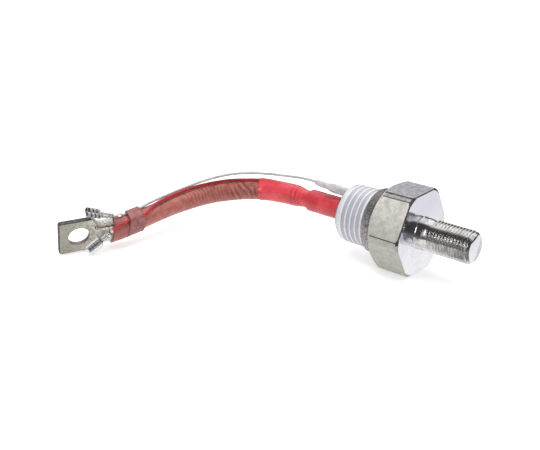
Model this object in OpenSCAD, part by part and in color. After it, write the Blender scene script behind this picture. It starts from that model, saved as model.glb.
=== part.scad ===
// Stud thyristor with a hex copper base, a ribbed ceramic housing and a flexible cathode lead.
// The seating face is the YZ plane at the origin, the stud points along +X, and the part lies
// on one flat of its hexagon with the lead curving round to a cable lug. Millimetres.

/* [Stud base] */
// Size across the flats of the hexagon
hex_af = 32; // [29:0.5:36]
// Diameter to which the corners of the hexagon are turned
hex_turned_d = 35.4; // [34.6:0.2:38]
// Height of the hexagon
hex_h = 14.5; // [12:0.5:18]
// Length along the axis of the turned bevel behind the hexagon
hex_bevel = 2.3; // [0.5:0.1:4]
// Outer diameter of the stud's thread
stud_d = 12.7; // [10:0.1:14]
// Length of the stud from the seating face
stud_len = 22; // [16:0.5:30]
// Length of the plain shank and neck before the thread
stud_neck_len = 5.2; // [3:0.2:8]
// Diameter of the neck before the thread
stud_neck_d = 11.5; // [9:0.1:12.4]
// Length of the chamfer at the tip of the stud
stud_chamfer = 1.4; // [0.5:0.1:2]
// Height of the raised platform under the silicon
platform_h = 1; // [0.5:0.1:2]

/* [Ceramic housing] */
// Outer diameter of the steel weld ring and the skirt
ring_d = 26; // [25:0.2:28]
// Height of the weld ring on the base
weld_ring_h = 1.8; // [1:0.1:3]
// Height of the skirt between the weld ring and the ceramic
skirt_h = 3.6; // [2.5:0.1:5]
// Diameter of the ceramic over its ribs
ceramic_d = 23.8; // [22.6:0.1:24.6]
// Length of the ceramic
ceramic_h = 12.6; // [12:0.2:16]
// Inner diameter of the ceramic
ceramic_bore_d = 19; // [18.6:0.1:20]
// Number of ribs
rib_count = 5; // [2:1:6]
// Distance from rib to rib
rib_pitch = 2.33; // [1.6:0.01:2.5]
// Depth of the hollows between the ribs
rib_depth = 0.6; // [0.3:0.05:1]
// Thickness of the metal cap on the ceramic
cap_t = 0.8; // [0.5:0.1:1.5]
// Outer diameter of the cathode tube
tube_d = 7.9; // [7.4:0.1:9]
// How far the cathode tube stands out behind the cap
tube_out = 28; // [20:0.5:30]
// Outer diameter of the crimped end of the cathode tube
crimp_d = 7.2; // [6.8:0.1:7.8]
// Length of the crimped end of the cathode tube
crimp_len = 7; // [4:0.5:10]
// Height of the gate tube above the axis
gate_offset = 8; // [7.8:0.05:8.3]
// Outer diameter of the gate tube
gate_tube_d = 2.2; // [1.8:0.1:2.4]
// How far the gate tube stands out behind the cap
gate_tube_out = 9; // [6:0.5:14]

/* [Silicon and clamp] */
// Diameter of the silicon wafer
wafer_d = 12; // [10:0.2:12.2]
// Thickness of the silicon wafer
wafer_t = 0.4; // [0.3:0.05:0.6]
// Thickness of the molybdenum disc under the wafer
anode_disc_t = 1.2; // [0.8:0.1:2]
// Thickness of the cathode disc on the wafer
cathode_disc_t = 0.8; // [0.4:0.1:1.5]
// Outer diameter of the clamp cup round the stack
clamp_d = 14.2; // [13.8:0.1:14.3]
// Thickness of the clamp cup's wall
clamp_t = 0.5; // [0.3:0.05:0.6]
// Diameter of the copper stem of the cathode contact
stem_d = 5.8; // [5:0.1:6]
// Thickness of the cathode contact's foot
foot_t = 1.6; // [1.2:0.1:2.4]
// Thickness of the mica ring
mica_t = 0.4; // [0.2:0.05:0.8]
// Thickness of the thrust washer
thrust_t = 0.8; // [0.5:0.1:1.5]
// Thickness of one disc spring's sheet
spring_t = 0.5; // [0.3:0.05:0.8]
// How far one disc spring is dished
spring_dish = 0.5; // [0.2:0.05:0.8]
// Thickness of the retaining ring over the springs
retainer_t = 0.9; // [0.5:0.1:1.5]

/* [Cathode lead] */
// Diameter of the copper rope
rope_d = 5.9; // [5:0.1:6]
// Thickness of the silicone sleeve's wall
sleeve_t = 0.95; // [0.6:0.05:1.2]
// Thickness of the heat-shrink's wall
shrink_t = 0.45; // [0.3:0.05:0.8]
// Thickness of the binding band's wall
band_t = 0.6; // [0.4:0.05:1]
// Length of the binding band
band_len = 7; // [5:0.2:7.4]
// Diameter of the white gate wire
gate_wire_d = 1.1; // [0.8:0.05:1.3]
// Diameter of the red cathode wire
cathode_wire_d = 1.3; // [1:0.05:1.4]

/* [Cable lug] */
// Width of the lug's plate
lug_w = 15.8; // [14:0.1:17]
// Thickness of the lug's plate
lug_t = 2.2; // [2:0.1:3]
// Diameter of the lug's hole
lug_hole_d = 8.5; // [5:0.1:9]
// Distance from the hole to the end of the plate
lug_end = 8.1; // [6:0.1:11]
// Distance from the hole to the start of the barrel
lug_neck = 7.6; // [7:0.1:8.4]
// Thickness of the barrel's wall
lug_wall = 1.45; // [1:0.05:2]
// Distance from the hole to the open end of the barrel
lug_reach = 17; // [15:0.1:17]
// Distance from the hole to the bottom of the barrel's bore
lug_bore_stop = 8.8; // [8.6:0.1:10]
// Angle by which the standing plate leans over
lug_lean = 20; // [0:1:30]

/* [Receptacle terminals] */
// Width of a terminal over its curls
terminal_w = 4.3; // [3.6:0.1:4.6]
// Radius of a terminal's curls
curl_r = 1.1; // [0.9:0.05:1.3]
// Thickness of a terminal's sheet
sheet_t = 0.35; // [0.25:0.05:0.45]
// Length of a terminal's socket
socket_len = 6; // [4:0.2:7]
// Length of the strip between socket and crimp
strip_len = 0.9; // [0.5:0.1:2]
// Length of the crimp on the bare strands
strand_crimp_len = 2.8; // [1.5:0.1:3]
// Length of the crimp on the insulation
jacket_crimp_len = 2; // [1.5:0.1:3]

/* [Hidden] */
$fn = 96;

// Gap left round a piece that slides or is pressed into another
fit = 0.05;
// Gap left round a piece that lies loose in another
slack = 0.15;
// Extra length that lets a cutter break through a face
over = 1;

axis_up = [0, 0, 1];
hex_r = hex_turned_d / 2;
stud_r = stud_d / 2;
ring_r = ring_d / 2;
tube_r = tube_d / 2;
rope_r = rope_d / 2;

// Places along the axis, counted backwards from the seating face
base_back = hex_h;
platform_back = base_back + platform_h;
skirt_front = base_back + weld_ring_h;
ceramic_front = skirt_front + skirt_h;
ceramic_back = ceramic_front + ceramic_h;
cap_back = ceramic_back + cap_t;
tube_back = cap_back + tube_out;
gate_tube_back = cap_back + gate_tube_out;
wafer_front = platform_back + anode_disc_t;
cathode_front = wafer_front + wafer_t;
foot_front = cathode_front + cathode_disc_t;
mica_front = foot_front + foot_t;
thrust_front = mica_front + mica_t;
spring_front = thrust_front + thrust_t;
spring_step = spring_t + spring_dish;
retainer_front = spring_front + 3 * spring_step;
clamp_back = retainer_front + retainer_t + clamp_t;

// The cathode tube is bored for the rope, and the stem of the contact is brazed into its front end
tube_bore_r = rope_r + fit;
tube_front = ceramic_back - 3;
stem_back = ceramic_back + 1.5;
stem_r = stem_d / 2;
cup_bore_r = clamp_d / 2 - clamp_t;
spring_bore_r = stem_r + 3 * slack;
foot_r = wafer_d / 2 - 0.4;
gate_lead_r = 0.4;
gate_lead_sleeve_r = 0.7;
gate_pin_r = 0.8;
gate_bush_r = 1.5;
gate_slot_w = 2 * gate_lead_sleeve_r + 2 * fit;
gate_lead_front = foot_front + gate_lead_sleeve_r + fit;

// Many-sided hoses, with hollows wide enough at their flats for the round pieces inside
lead_sides = 12;
wire_sides = 8;
sleeve_in_r = hollow_r(rope_r, lead_sides);
sleeve_r = sleeve_in_r + sleeve_t;
flare_in_r = hollow_r(rope_r + slack + lug_wall, lead_sides);
flare_start_r = flare_in_r + sleeve_t - 0.6;
flare_r = flare_in_r + sleeve_t;
shrink_wide_r = hollow_r(max(tube_r, sleeve_r), lead_sides);
shrink_waist_r = hollow_r(crimp_d / 2, lead_sides);

// The band lies along a straight piece of the lead, with both wires beside the sleeve inside it
band_from = [-104.2, -50.2, -6.85];
band_ahead = unit([-0.85, -6, -0.7]);
band_side = unit(cross(axis_up, band_ahead));
band_inset = 0.35;
band_to = band_from + (band_len + 2 * band_inset) * band_ahead;
gate_wire_turn = 100;
cathode_wire_turn = 42;
gate_wire_out = sleeve_r + fit + gate_wire_d / 2;
cathode_wire_out = sleeve_r + fit + cathode_wire_d / 2;

// Routes of the lead and the wires, as points chosen by hand
lug_rest_h = lug_w / 2 * cos(lug_lean) + lug_t / 2 * sin(lug_lean) - hex_af / 2;
lead_route = [
    [-37, 0, 0], [-46, 0, 0], [-56, 0, 0], [-64, 0, 0], [-70, -0.6, -0.2], [-77, -2.2, -0.7],
    [-84, -5.2, -1.4], [-91, -9.6, -2.4], [-96.4, -15, -3.3], [-100, -21.6, -4.1],
    [-102.4, -29, -5], [-103.7, -37, -5.7], [-104.1, -45, -6.4], band_from, band_to,
    [-105.92, -60.21, lug_rest_h], [-107.4, -63.93, lug_rest_h], [-109.09, -68.21, lug_rest_h]
];
sleeve_first = 3;
sleeve_last = 16;
shrink_route = [
    [-35, 0, 0], [-53.6, 0, 0], [-56, 0, 0], [-61, 0, 0], [-64, 0, 0], [-70, -0.6, -0.2],
    [-77, -2.2, -0.7], [-79, -3.05, -0.9]
];
gate_route = [
    [-49.6, 0, 8.5], [-53, 0, 8.75], [-60, 0, 8.5], [-68, -0.4, 7.7], [-76, -2, 7.15],
    [-84, -5.4, 6.6], [-91, -9.8, 5.6], [-96.6, -15.4, 4], [-100.6, -21.8, 2.3],
    [-103.8, -29, 0.5], [-105.2, -37, -0.8], [-105.4, -45, -1.6],
    beside_band(band_from, gate_wire_out, gate_wire_turn),
    beside_band(band_to, gate_wire_out, gate_wire_turn),
    [-105.5, -60.2, -1.95], [-105.3, -62.2, -1.85], [-105.45, -64.07, -1.76], [-105.8, -65.95, -1.02]
];
cathode_route = [
    [-79.7, -3.3, 3.9], [-84, -5.2, 3.5], [-91.4, -9.6, 2.7], [-96.6, -15, 1.8],
    [-100.2, -21.6, 1], [-102.2, -29, 0.2], [-102.7, -37, -0.75], [-102, -45, -1.6],
    beside_band(band_from, cathode_wire_out, cathode_wire_turn),
    beside_band(band_to, cathode_wire_out, cathode_wire_turn),
    [-101.42, -62.04, -4.75], [-101.7, -64.5, -5.25], [-101.6, -66.2, -5.7], [-101.31, -68.23, -6.42],
    [-102.43, -69.56, -7.76]
];
// Directions that the open sides of the two terminals face
gate_face = [0.71, 0.14, 0.68];
cathode_face = [0.58, -0.78, 0.22];

function unit(v) = v / norm(v);
function part_of(list, first, last) = [for (i = [first:last]) list[i]];
// Radius at the corners of a many-sided hollow whose flats clear a round piece
function hollow_r(r, sides) = (r + fit) / cos(180 / sides);
// Place beside the band's straight piece of the lead, at an angle counted up from the level
function beside_band(at, out, turn) =
    at + out * (cos(turn) * band_side + sin(turn) * cross(band_ahead, band_side));

// Direction of a route at one of its points
function heading(route, i) =
    unit(route[min(i + 1, len(route) - 1)] - route[max(i - 1, 0)]);
// Corners of the ring round one point of a route
function ring_at(route, i, r, sides) =
    let (ahead = heading(route, i), side = unit(cross(ahead, axis_up)), top = cross(side, ahead))
    [for (k = [0:sides - 1]) route[i] + r * (cos(360 * k / sides) * side + sin(360 * k / sides) * top)];
// The same route with a short straight piece added at each end
function run_out(route) =
    let (n = len(route) - 1)
    concat([route[0] + over * unit(route[0] - route[1])], route,
        [route[n] + over * unit(route[n] - route[n - 1])]);
function run_out_radii(radii) = concat([radii[0]], radii, [radii[len(radii) - 1]]);
function same_radius(route, r) = [for (p = route) r];

// Solid tube along a route, with one radius for each point
module swept(route, radii, sides) {
    n = len(route);
    corners = [for (i = [0:n - 1]) each ring_at(route, i, radii[i], sides)];
    walls = [for (i = [0:n - 2], k = [0:sides - 1])
        [i * sides + (k + 1) % sides, (i + 1) * sides + (k + 1) % sides, (i + 1) * sides + k, i * sides + k]];
    first = [for (k = [sides - 1:-1:0]) k];
    last = [for (k = [0:sides - 1]) (n - 1) * sides + k];
    polyhedron(corners, concat(walls, [first, last]), convexity = 6);
}

module hollow_swept(route, outer, inner, sides) {
    difference() {
        swept(route, outer, sides);
        swept(run_out(route), run_out_radii(inner), sides);
    }
}

// Solid turned round the X axis from points given as radius and distance behind the seating face
module turned(points) {
    rotate([0, -90, 0]) rotate_extrude() polygon(points);
}

// Disc or ring between two distances behind the seating face
module ring(outer_r, inner_r, front, back) {
    rotate([0, -90, 0]) translate([0, 0, front]) difference() {
        cylinder(r = outer_r, h = back - front);
        if (inner_r > 0) translate([0, 0, -over]) cylinder(r = inner_r, h = back - front + 2 * over);
    }
}

// Round bar or hole along the X axis at a height above the axis
module bar(r, front, back, up = 0) {
    translate([0, 0, up]) rotate([0, -90, 0]) translate([0, 0, front]) cylinder(r = r, h = back - front);
}

// Places a piece so that its X axis points ahead and its Z axis points as near to face as it can
module placed(origin, ahead, face) {
    x = unit(ahead);
    y = unit(cross(face, x));
    z = cross(x, y);
    multmatrix([
        [x[0], y[0], z[0], origin[0]], [x[1], y[1], z[1], origin[1]], [x[2], y[2], z[2], origin[2]],
        [0, 0, 0, 1]
    ]) children();
}

// Copper base turned and milled in one piece: stud, seating face, hexagon and inner platform
module stud_base() {
    seat_fillet = 0.5;
    corner_break = 0.6;
    bevel_in = hex_bevel * 1.08;
    shank_len = 1.6;
    cone_len = stud_neck_len - shank_len - 1;
    tip_r = stud_r - stud_chamfer * 0.85;
    platform_r = clamp_d / 2 + 0.6;
    color("#b9b8ac") {
        intersection() {
            rotate([0, -90, 0]) rotate(30) cylinder(r = hex_af / 2 / cos(30), h = hex_h, $fn = 6);
            turned([
                [0, 0], [hex_r - corner_break, 0], [hex_r, corner_break], [hex_r, hex_h - hex_bevel],
                [hex_r - bevel_in, hex_h], [0, hex_h]
            ]);
        }
        turned([
            [0, over], [stud_r + seat_fillet, over], [stud_r + seat_fillet, 0], [stud_r, -seat_fillet],
            [stud_r, -shank_len], [stud_neck_d / 2, -shank_len - cone_len], [stud_neck_d / 2, -stud_neck_len],
            [stud_r, -stud_neck_len], [stud_r, stud_chamfer - stud_len], [tip_r, -stud_len], [0, -stud_len]
        ]);
        ring(platform_r, 0, base_back - over, platform_back);
    }
}

// Steel ring brazed to the copper, on which the cap is welded
module weld_ring() {
    lip = 0.25;
    bore_r = clamp_d / 2 + 0.6 + slack;
    color("#7f7f80") turned([
        [bore_r, base_back], [ring_r, base_back], [ring_r, skirt_front - lip], [ring_r - lip, skirt_front],
        [bore_r, skirt_front]
    ]);
}

// Drawn steel skirt of the cap, rounded in to meet the ceramic
module cap_skirt() {
    round_r = 0.9;
    bore_r = ceramic_bore_d / 2;
    color("#77787c") rotate([0, -90, 0]) rotate_extrude() difference() {
        union() {
            translate([bore_r, skirt_front]) square([ring_r - bore_r, skirt_h - round_r]);
            translate([bore_r, skirt_front]) square([ring_r - round_r - bore_r, skirt_h]);
            translate([ring_r - round_r, ceramic_front - round_r]) circle(round_r);
        }
        translate([ring_r - 0.2, skirt_front - 0.2]) circle(0.3);
    }
}

// Fired alumina tube with rounded hollows between its ribs
module ceramic_housing() {
    crest_w = 0.5;
    rim_round = 0.6;
    first_crest = 0.9;
    outer_r = ceramic_d / 2;
    half_gap = (rib_pitch - crest_w) / 2;
    hollow_r = (half_gap * half_gap + rib_depth * rib_depth) / (2 * rib_depth);
    color("#f4f3f6") rotate([0, -90, 0]) rotate_extrude() difference() {
        union() {
            translate([ceramic_bore_d / 2, ceramic_front])
                square([outer_r - ceramic_bore_d / 2, ceramic_h - rim_round]);
            translate([ceramic_bore_d / 2, ceramic_front])
                square([outer_r - rim_round - ceramic_bore_d / 2, ceramic_h]);
            translate([outer_r - rim_round, ceramic_back - rim_round]) circle(rim_round);
        }
        for (i = [0:rib_count - 2])
            translate([outer_r - rib_depth + hollow_r, ceramic_front + first_crest + (i + 0.5) * rib_pitch])
                circle(hollow_r);
    }
}

// Metal cap brazed on the ceramic, with a collar round the cathode tube
module top_cap() {
    cap_r = ceramic_d / 2 - 1.4;
    collar_r = tube_r + 1;
    collar_h = 1.2;
    color("#a9a8a2") difference() {
        union() {
            ring(cap_r, 0, ceramic_back, cap_back);
            ring(collar_r, 0, ceramic_back, cap_back + collar_h);
        }
        bar(tube_r + fit, ceramic_back - over, cap_back + collar_h + over);
        bar(gate_tube_d / 2 + fit, ceramic_back - over, cap_back + over, gate_offset);
    }
}

// Drawn tube that carries the rope, necked down where it is crimped
module cathode_tube() {
    neck_len = 1.4;
    crimp_front = tube_back - crimp_len;
    color("#b3b2ab") turned([
        [tube_bore_r, tube_front], [tube_r, tube_front], [tube_r, crimp_front - neck_len],
        [crimp_d / 2, crimp_front], [crimp_d / 2, tube_back], [tube_bore_r, tube_back]
    ]);
}

// Thin tube that brings the gate connection out of the cap
module gate_tube() {
    bore_r = gate_lead_r + fit;
    color("#b3b2ab") difference() {
        bar(gate_tube_d / 2, ceramic_back - 1.5, gate_tube_back, gate_offset);
        bar(bore_r, ceramic_back - 1.5 - over, gate_tube_back + over, gate_offset);
    }
}

module anode_disc() {
    color("#8d8f94") ring(wafer_d / 2, 0, platform_back, wafer_front);
}

// Silicon with its edge ground to a bevel
module silicon_wafer() {
    edge = wafer_t;
    color("#4a4f5a") turned([
        [0, wafer_front], [wafer_d / 2, wafer_front], [wafer_d / 2 - edge, cathode_front], [0, cathode_front]
    ]);
}

module cathode_disc() {
    color("#c9c9c6") ring(foot_r, gate_bush_r + fit, cathode_front, foot_front);
}

// Ring of white plastic that keeps the discs in the middle of the cup
module centring_ring() {
    color("#efece0") ring(cup_bore_r - fit, wafer_d / 2 + fit, platform_back, foot_front);
}

// Copper contact with a foot on the cathode disc and a stem up into the tube
module cathode_contact() {
    color("#b87333") difference() {
        union() {
            ring(foot_r, 0, foot_front, mica_front);
            ring(stem_r, 0, foot_front, stem_back);
        }
        bar(gate_bush_r + fit, foot_front - over, foot_front + gate_slot_w + fit);
        translate([-(foot_front + gate_slot_w / 2), 0, foot_r / 2])
            cube([gate_slot_w, gate_slot_w, foot_r + 2 * over], center = true);
    }
}

module gate_pin() {
    color("#c9c9c6") bar(gate_pin_r, cathode_front, foot_front);
}

module gate_bush() {
    color("#efece0") ring(gate_bush_r, gate_pin_r + fit, cathode_front, foot_front);
}

// Wire that runs from the pin out under the foot and up beside the clamp to the gate tube
module gate_lead() {
    color("#b87333") {
        bar(gate_lead_r, foot_front, gate_lead_front);
        translate([-gate_lead_front, 0, 0]) cylinder(r = gate_lead_r, h = gate_offset);
        translate([-gate_lead_front, 0, gate_offset]) sphere(gate_lead_r);
        translate([-gate_lead_front, 0, 0]) sphere(gate_lead_r);
        bar(gate_lead_r, gate_lead_front, gate_tube_back, gate_offset);
    }
}

module gate_lead_sleeve() {
    sleeve_front = gate_lead_front + gate_lead_sleeve_r;
    color("#efece0") difference() {
        bar(gate_lead_sleeve_r, sleeve_front, ceramic_back - 1.5, gate_offset);
        bar(gate_lead_r + fit, sleeve_front - over, ceramic_back, gate_offset);
    }
}

module mica_ring() {
    color("#b9a77c") ring(cup_bore_r - slack, stem_r + slack, mica_front, thrust_front);
}

module thrust_washer() {
    color("#8c8c8c") ring(cup_bore_r - slack, spring_bore_r, thrust_front, spring_front);
}

// One dished spring, with its outer or its inner edge to the front
module disc_spring(front, outer_first) {
    inner = spring_bore_r;
    outer = cup_bore_r - 2 * slack;
    rise_inner = outer_first ? spring_dish : 0;
    rise_outer = outer_first ? 0 : spring_dish;
    color("#6f7072") turned([
        [inner, front + rise_inner], [outer, front + rise_outer], [outer, front + rise_outer + spring_t],
        [inner, front + rise_inner + spring_t]
    ]);
}

module disc_spring_lower() {
    disc_spring(spring_front, true);
}

module disc_spring_middle() {
    disc_spring(spring_front + spring_step, false);
}

module disc_spring_upper() {
    disc_spring(spring_front + 2 * spring_step, true);
}

module retaining_ring() {
    color("#8c8c8c") ring(cup_bore_r - fit, spring_bore_r, retainer_front, clamp_back - clamp_t);
}

// Steel cup that holds the springs down on the stack, slotted for the gate wire
module clamp_cup() {
    lip_w = 0.9;
    slot_w = 2 * gate_lead_sleeve_r + 2 * slack;
    slot_h = 2 * (gate_lead_front - platform_back + gate_lead_sleeve_r);
    color("#84858a") difference() {
        union() {
            ring(clamp_d / 2, cup_bore_r, platform_back, clamp_back);
            ring(clamp_d / 2, cup_bore_r - lip_w, clamp_back - clamp_t, clamp_back);
        }
        translate([-platform_back, 0, clamp_d / 2]) cube([slot_h, slot_w, 4 * clamp_t], center = true);
    }
}

// Copper rope from the crimp in the cathode tube to the lug
module lead_rope() {
    color("#b5683a") swept(lead_route, same_radius(lead_route, rope_r), lead_sides);
}

// Silicone sleeve over the rope, spread over the barrel of the lug
module lead_sleeve() {
    route = part_of(lead_route, sleeve_first, sleeve_last);
    outer = [for (i = [sleeve_first:sleeve_last])
        i == sleeve_last ? flare_r : i == sleeve_last - 1 ? flare_start_r : sleeve_r];
    inner = [for (i = [sleeve_first:sleeve_last]) i > sleeve_last - 2 ? flare_in_r : sleeve_in_r];
    color("#8e2a22") hollow_swept(route, outer, inner, lead_sides);
}

// Red heat-shrink from the cathode tube to the sleeve, drawn in round the crimp
module housing_shrink() {
    inner = [for (i = [0:len(shrink_route) - 1]) i == 2 || i == 3 ? shrink_waist_r : shrink_wide_r];
    outer = [for (r = inner) r + shrink_t];
    color("#c8141b") hollow_swept(shrink_route, outer, inner, lead_sides);
}

// Outline round the sleeve and the two wires, with the band's wall added where it is wanted
module bound_outline(wall) {
    hull() {
        circle(sleeve_r + slack + wall);
        rotate(gate_wire_turn) translate([gate_wire_out, 0]) circle(gate_wire_d / 2 + slack + wall);
        rotate(cathode_wire_turn) translate([cathode_wire_out, 0]) circle(cathode_wire_d / 2 + slack + wall);
    }
}

// Short piece of sleeve that binds the two wires to the lead
module binding_band() {
    color("#7c2620") placed(band_from + band_inset * band_ahead, band_ahead, axis_up)
        rotate([90, 0, 90]) linear_extrude(band_len) difference() {
            bound_outline(band_t);
            bound_outline(0);
        }
}

// Tinned copper lug, pressed flat from tube: plate, shoulder and barrel with its seam
module cable_lug() {
    corner_r = 1.6;
    bore_r = rope_r + slack;
    barrel_r = bore_r + lug_wall;
    plate_start = 5.2;
    shoulder = 0.2;
    seam_w = 0.5;
    seam_depth = 0.35;
    seam_turn = 62;
    last = len(lead_route) - 1;
    ahead = unit(lead_route[last] - lead_route[last - 1]);
    hole_at = lead_route[last] + ahead * lug_bore_stop;
    face = [cos(lug_lean) * -ahead[1], cos(lug_lean) * ahead[0], -sin(lug_lean)];
    color("#b3ae9d") placed(hole_at, ahead, face) difference() {
        union() {
            translate([0, 0, -lug_t / 2]) linear_extrude(lug_t) {
                translate([-plate_start, -lug_w / 2]) square([lug_end + plate_start - corner_r, lug_w]);
                translate([-plate_start, -lug_w / 2 + corner_r])
                    square([lug_end + plate_start, lug_w - 2 * corner_r]);
                for (side = [-1, 1])
                    translate([lug_end - corner_r, side * (lug_w / 2 - corner_r)]) circle(corner_r);
            }
            hull() {
                translate([-plate_start, -lug_w / 2, -lug_t / 2]) cube([shoulder, lug_w, lug_t]);
                translate([-lug_neck, 0, 0]) rotate([0, -90, 0]) cylinder(r = barrel_r, h = shoulder, $fn = 32);
            }
            translate([-lug_neck, 0, 0]) rotate([0, -90, 0]) cylinder(r = barrel_r, h = lug_reach - lug_neck);
        }
        cylinder(d = lug_hole_d, h = lug_t + 2 * over, center = true);
        translate([-lug_bore_stop, 0, 0]) rotate([0, -90, 0]) cylinder(r = bore_r, h = lug_reach);
        rotate([seam_turn, 0, 0]) translate([-lug_reach - over, -seam_w / 2, barrel_r - seam_depth])
            cube([lug_reach - lug_neck + over, seam_w, barrel_r]);
    }
}

// Clear sleeve shrunk over the gate tube and the start of the gate wire, rising a little with the wire
module gate_shrink() {
    wall = 0.75;
    tube_lap = 0.8;
    wire_lap = 1.3;
    step = 2.4;
    tube_hollow_r = hollow_r(gate_tube_d / 2, lead_sides);
    wire_hollow_r = hollow_r(gate_wire_d / 2, lead_sides);
    ahead = unit(gate_route[1] - gate_route[0]);
    route = [
        [-cap_back - 0.4, 0, gate_offset], [-gate_tube_back - tube_lap, 0, gate_offset],
        gate_route[0] - step * ahead, gate_route[0] + wire_lap * ahead
    ];
    inner = [tube_hollow_r, tube_hollow_r, wire_hollow_r, wire_hollow_r];
    outer = [for (r = inner) r + wall];
    color("#dcdad6") hollow_swept(route, outer, inner, lead_sides);
}

module gate_wire() {
    color("#d9d7d2") swept(gate_route, same_radius(gate_route, gate_wire_d / 2), wire_sides);
}

module cathode_wire() {
    color("#d0201c") swept(cathode_route, same_radius(cathode_route, cathode_wire_d / 2), wire_sides);
}

// Section of a terminal's socket: a flat floor with both sides curled in over it
module socket_section() {
    for (side = [-1, 1])
        translate([side * (terminal_w / 2 - curl_r), curl_r]) difference() {
            circle(curl_r);
            circle(curl_r - sheet_t);
            polygon([[0, 0], [-side * 0.75, -2], [-side * 3, -2], [-side * 3, -0.5]]);
        }
    translate([-terminal_w / 2 + curl_r, 0]) square([terminal_w - 2 * curl_r, sheet_t]);
}

// Push-on terminal folded from brass sheet, crimped on the end of a wire and open towards one side
module terminal(route, wire_d, face) {
    strip_w = 2.1;
    lobe_r = 0.75;
    lobe_out = 0.5;
    strip_lap = 0.6;
    seam_w = 0.2;
    last = len(route) - 1;
    strand_from = socket_len + strip_len;
    jacket_from = strand_from + strand_crimp_len;
    jacket_r = wire_d / 2 + fit + sheet_t;
    color("#b7b3a0") placed(route[last], route[last - 1] - route[last], face)
        translate([-jacket_from, 0, -jacket_r]) {
            rotate([90, 0, 90]) linear_extrude(socket_len) socket_section();
            translate([socket_len - strip_lap, -strip_w / 2, 0])
                cube([strip_lap + strip_len + strand_crimp_len + jacket_crimp_len, strip_w, sheet_t]);
            translate([strand_from, 0, 0]) rotate([90, 0, 90]) linear_extrude(strand_crimp_len) {
                for (side = [-1, 1])
                    translate([side * lobe_out, lobe_r + sheet_t / 2]) circle(lobe_r);
                translate([-strip_w / 2, 0]) square([strip_w, lobe_r + sheet_t / 2]);
            }
            translate([jacket_from, 0, jacket_r]) rotate([90, 0, 90]) linear_extrude(jacket_crimp_len)
                difference() {
                    circle(jacket_r);
                    circle(wire_d / 2 + fit);
                    translate([-seam_w / 2, 0]) square([seam_w, jacket_r + over]);
                }
        }
}

module gate_terminal() {
    terminal(gate_route, gate_wire_d, gate_face);
}

module cathode_terminal() {
    terminal(cathode_route, cathode_wire_d, cathode_face);
}

stud_base();
weld_ring();
cap_skirt();
ceramic_housing();
top_cap();
cathode_tube();
gate_tube();
anode_disc();
silicon_wafer();
cathode_disc();
centring_ring();
cathode_contact();
gate_pin();
gate_bush();
gate_lead();
gate_lead_sleeve();
mica_ring();
thrust_washer();
disc_spring_lower();
disc_spring_middle();
disc_spring_upper();
retaining_ring();
clamp_cup();
lead_rope();
lead_sleeve();
housing_shrink();
binding_band();
cable_lug();
gate_shrink();
gate_wire();
cathode_wire();
gate_terminal();
cathode_terminal();
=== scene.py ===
from math import atan2, ceil, cos, degrees, floor, hypot, pi, radians, sin, sqrt

import bmesh
import bpy
from mathutils import Matrix, Vector, noise


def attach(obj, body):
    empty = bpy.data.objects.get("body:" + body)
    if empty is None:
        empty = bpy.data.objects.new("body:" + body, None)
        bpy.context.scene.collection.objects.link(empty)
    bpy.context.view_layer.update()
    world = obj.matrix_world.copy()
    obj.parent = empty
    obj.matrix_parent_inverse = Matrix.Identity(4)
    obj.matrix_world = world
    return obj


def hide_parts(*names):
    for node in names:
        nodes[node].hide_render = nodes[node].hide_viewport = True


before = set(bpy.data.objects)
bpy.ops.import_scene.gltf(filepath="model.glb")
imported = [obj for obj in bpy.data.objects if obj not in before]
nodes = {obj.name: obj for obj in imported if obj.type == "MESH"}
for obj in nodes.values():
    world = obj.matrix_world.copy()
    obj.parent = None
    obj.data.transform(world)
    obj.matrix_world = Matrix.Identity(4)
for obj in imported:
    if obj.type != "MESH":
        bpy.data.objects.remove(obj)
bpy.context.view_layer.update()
scene = bpy.context.scene

# Camera. It stands a little above the part, in front of the stud's end, with a 50 mm lens on a
# 36 mm sensor. Azimuth and elevation are those of the picture.
CAMERA_AZIMUTH, CAMERA_ELEVATION = 41.45, 22.41
camera_data = bpy.data.cameras.new("camera")
camera_data.lens = 50
camera_data.sensor_width = 36
camera_data.clip_start = 0.01
camera_data.clip_end = 20
camera = bpy.data.objects.new("camera", camera_data)
camera.location = (0.1295, -0.2336, 0.1108)
camera.rotation_euler = (radians(90 - CAMERA_ELEVATION), 0, radians(CAMERA_AZIMUTH))
scene.collection.objects.link(camera)
scene.camera = camera
scene.view_settings.view_transform = "Standard"


# Floor and studio. The part lies on a wide white board under one large soft lamp. Bright metal mirrors
# a soft box overhead, a dim panel and a narrow lit strip in the dark room in front, grey walls behind,
# and a board that turns grey in front of the part, beside the stud and far behind.
def set_inputs(tree, node, inputs):
    """Gives each named input of a node a value or a link."""
    for name, value in inputs.items():
        if isinstance(value, bpy.types.NodeSocket):
            tree.links.new(value, node.inputs[name])
        else:
            node.inputs[name].default_value = value


def add_node(tree, kind, inputs=None, **settings):
    """Shader node with its settings, and a value or a link for each named input."""
    node = tree.nodes.new("ShaderNode" + kind)
    for name, value in settings.items():
        setattr(node, name, value)
    set_inputs(tree, node, inputs or {})
    return node


def add_math(tree, operation, a, b=0.0):
    """Result of a calculation on one or two values or sockets."""
    return add_node(tree, "Math", {0: a, 1: b}, operation=operation).outputs[0]


def add_product(tree, *factors):
    """Product of two or more values or sockets."""
    product = factors[0]
    for factor in factors[1:]:
        product = add_math(tree, "MULTIPLY", product, factor)
    return product


def add_range(tree, value, low, high, to_low=0.0, to_high=1.0):
    """Smooth change from to_low to to_high while a value goes from low to high."""
    inputs = {"Value": value, "From Min": low, "From Max": high, "To Min": to_low, "To Max": to_high}
    return add_node(tree, "MapRange", inputs, interpolation_type="SMOOTHSTEP").outputs["Result"]


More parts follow.
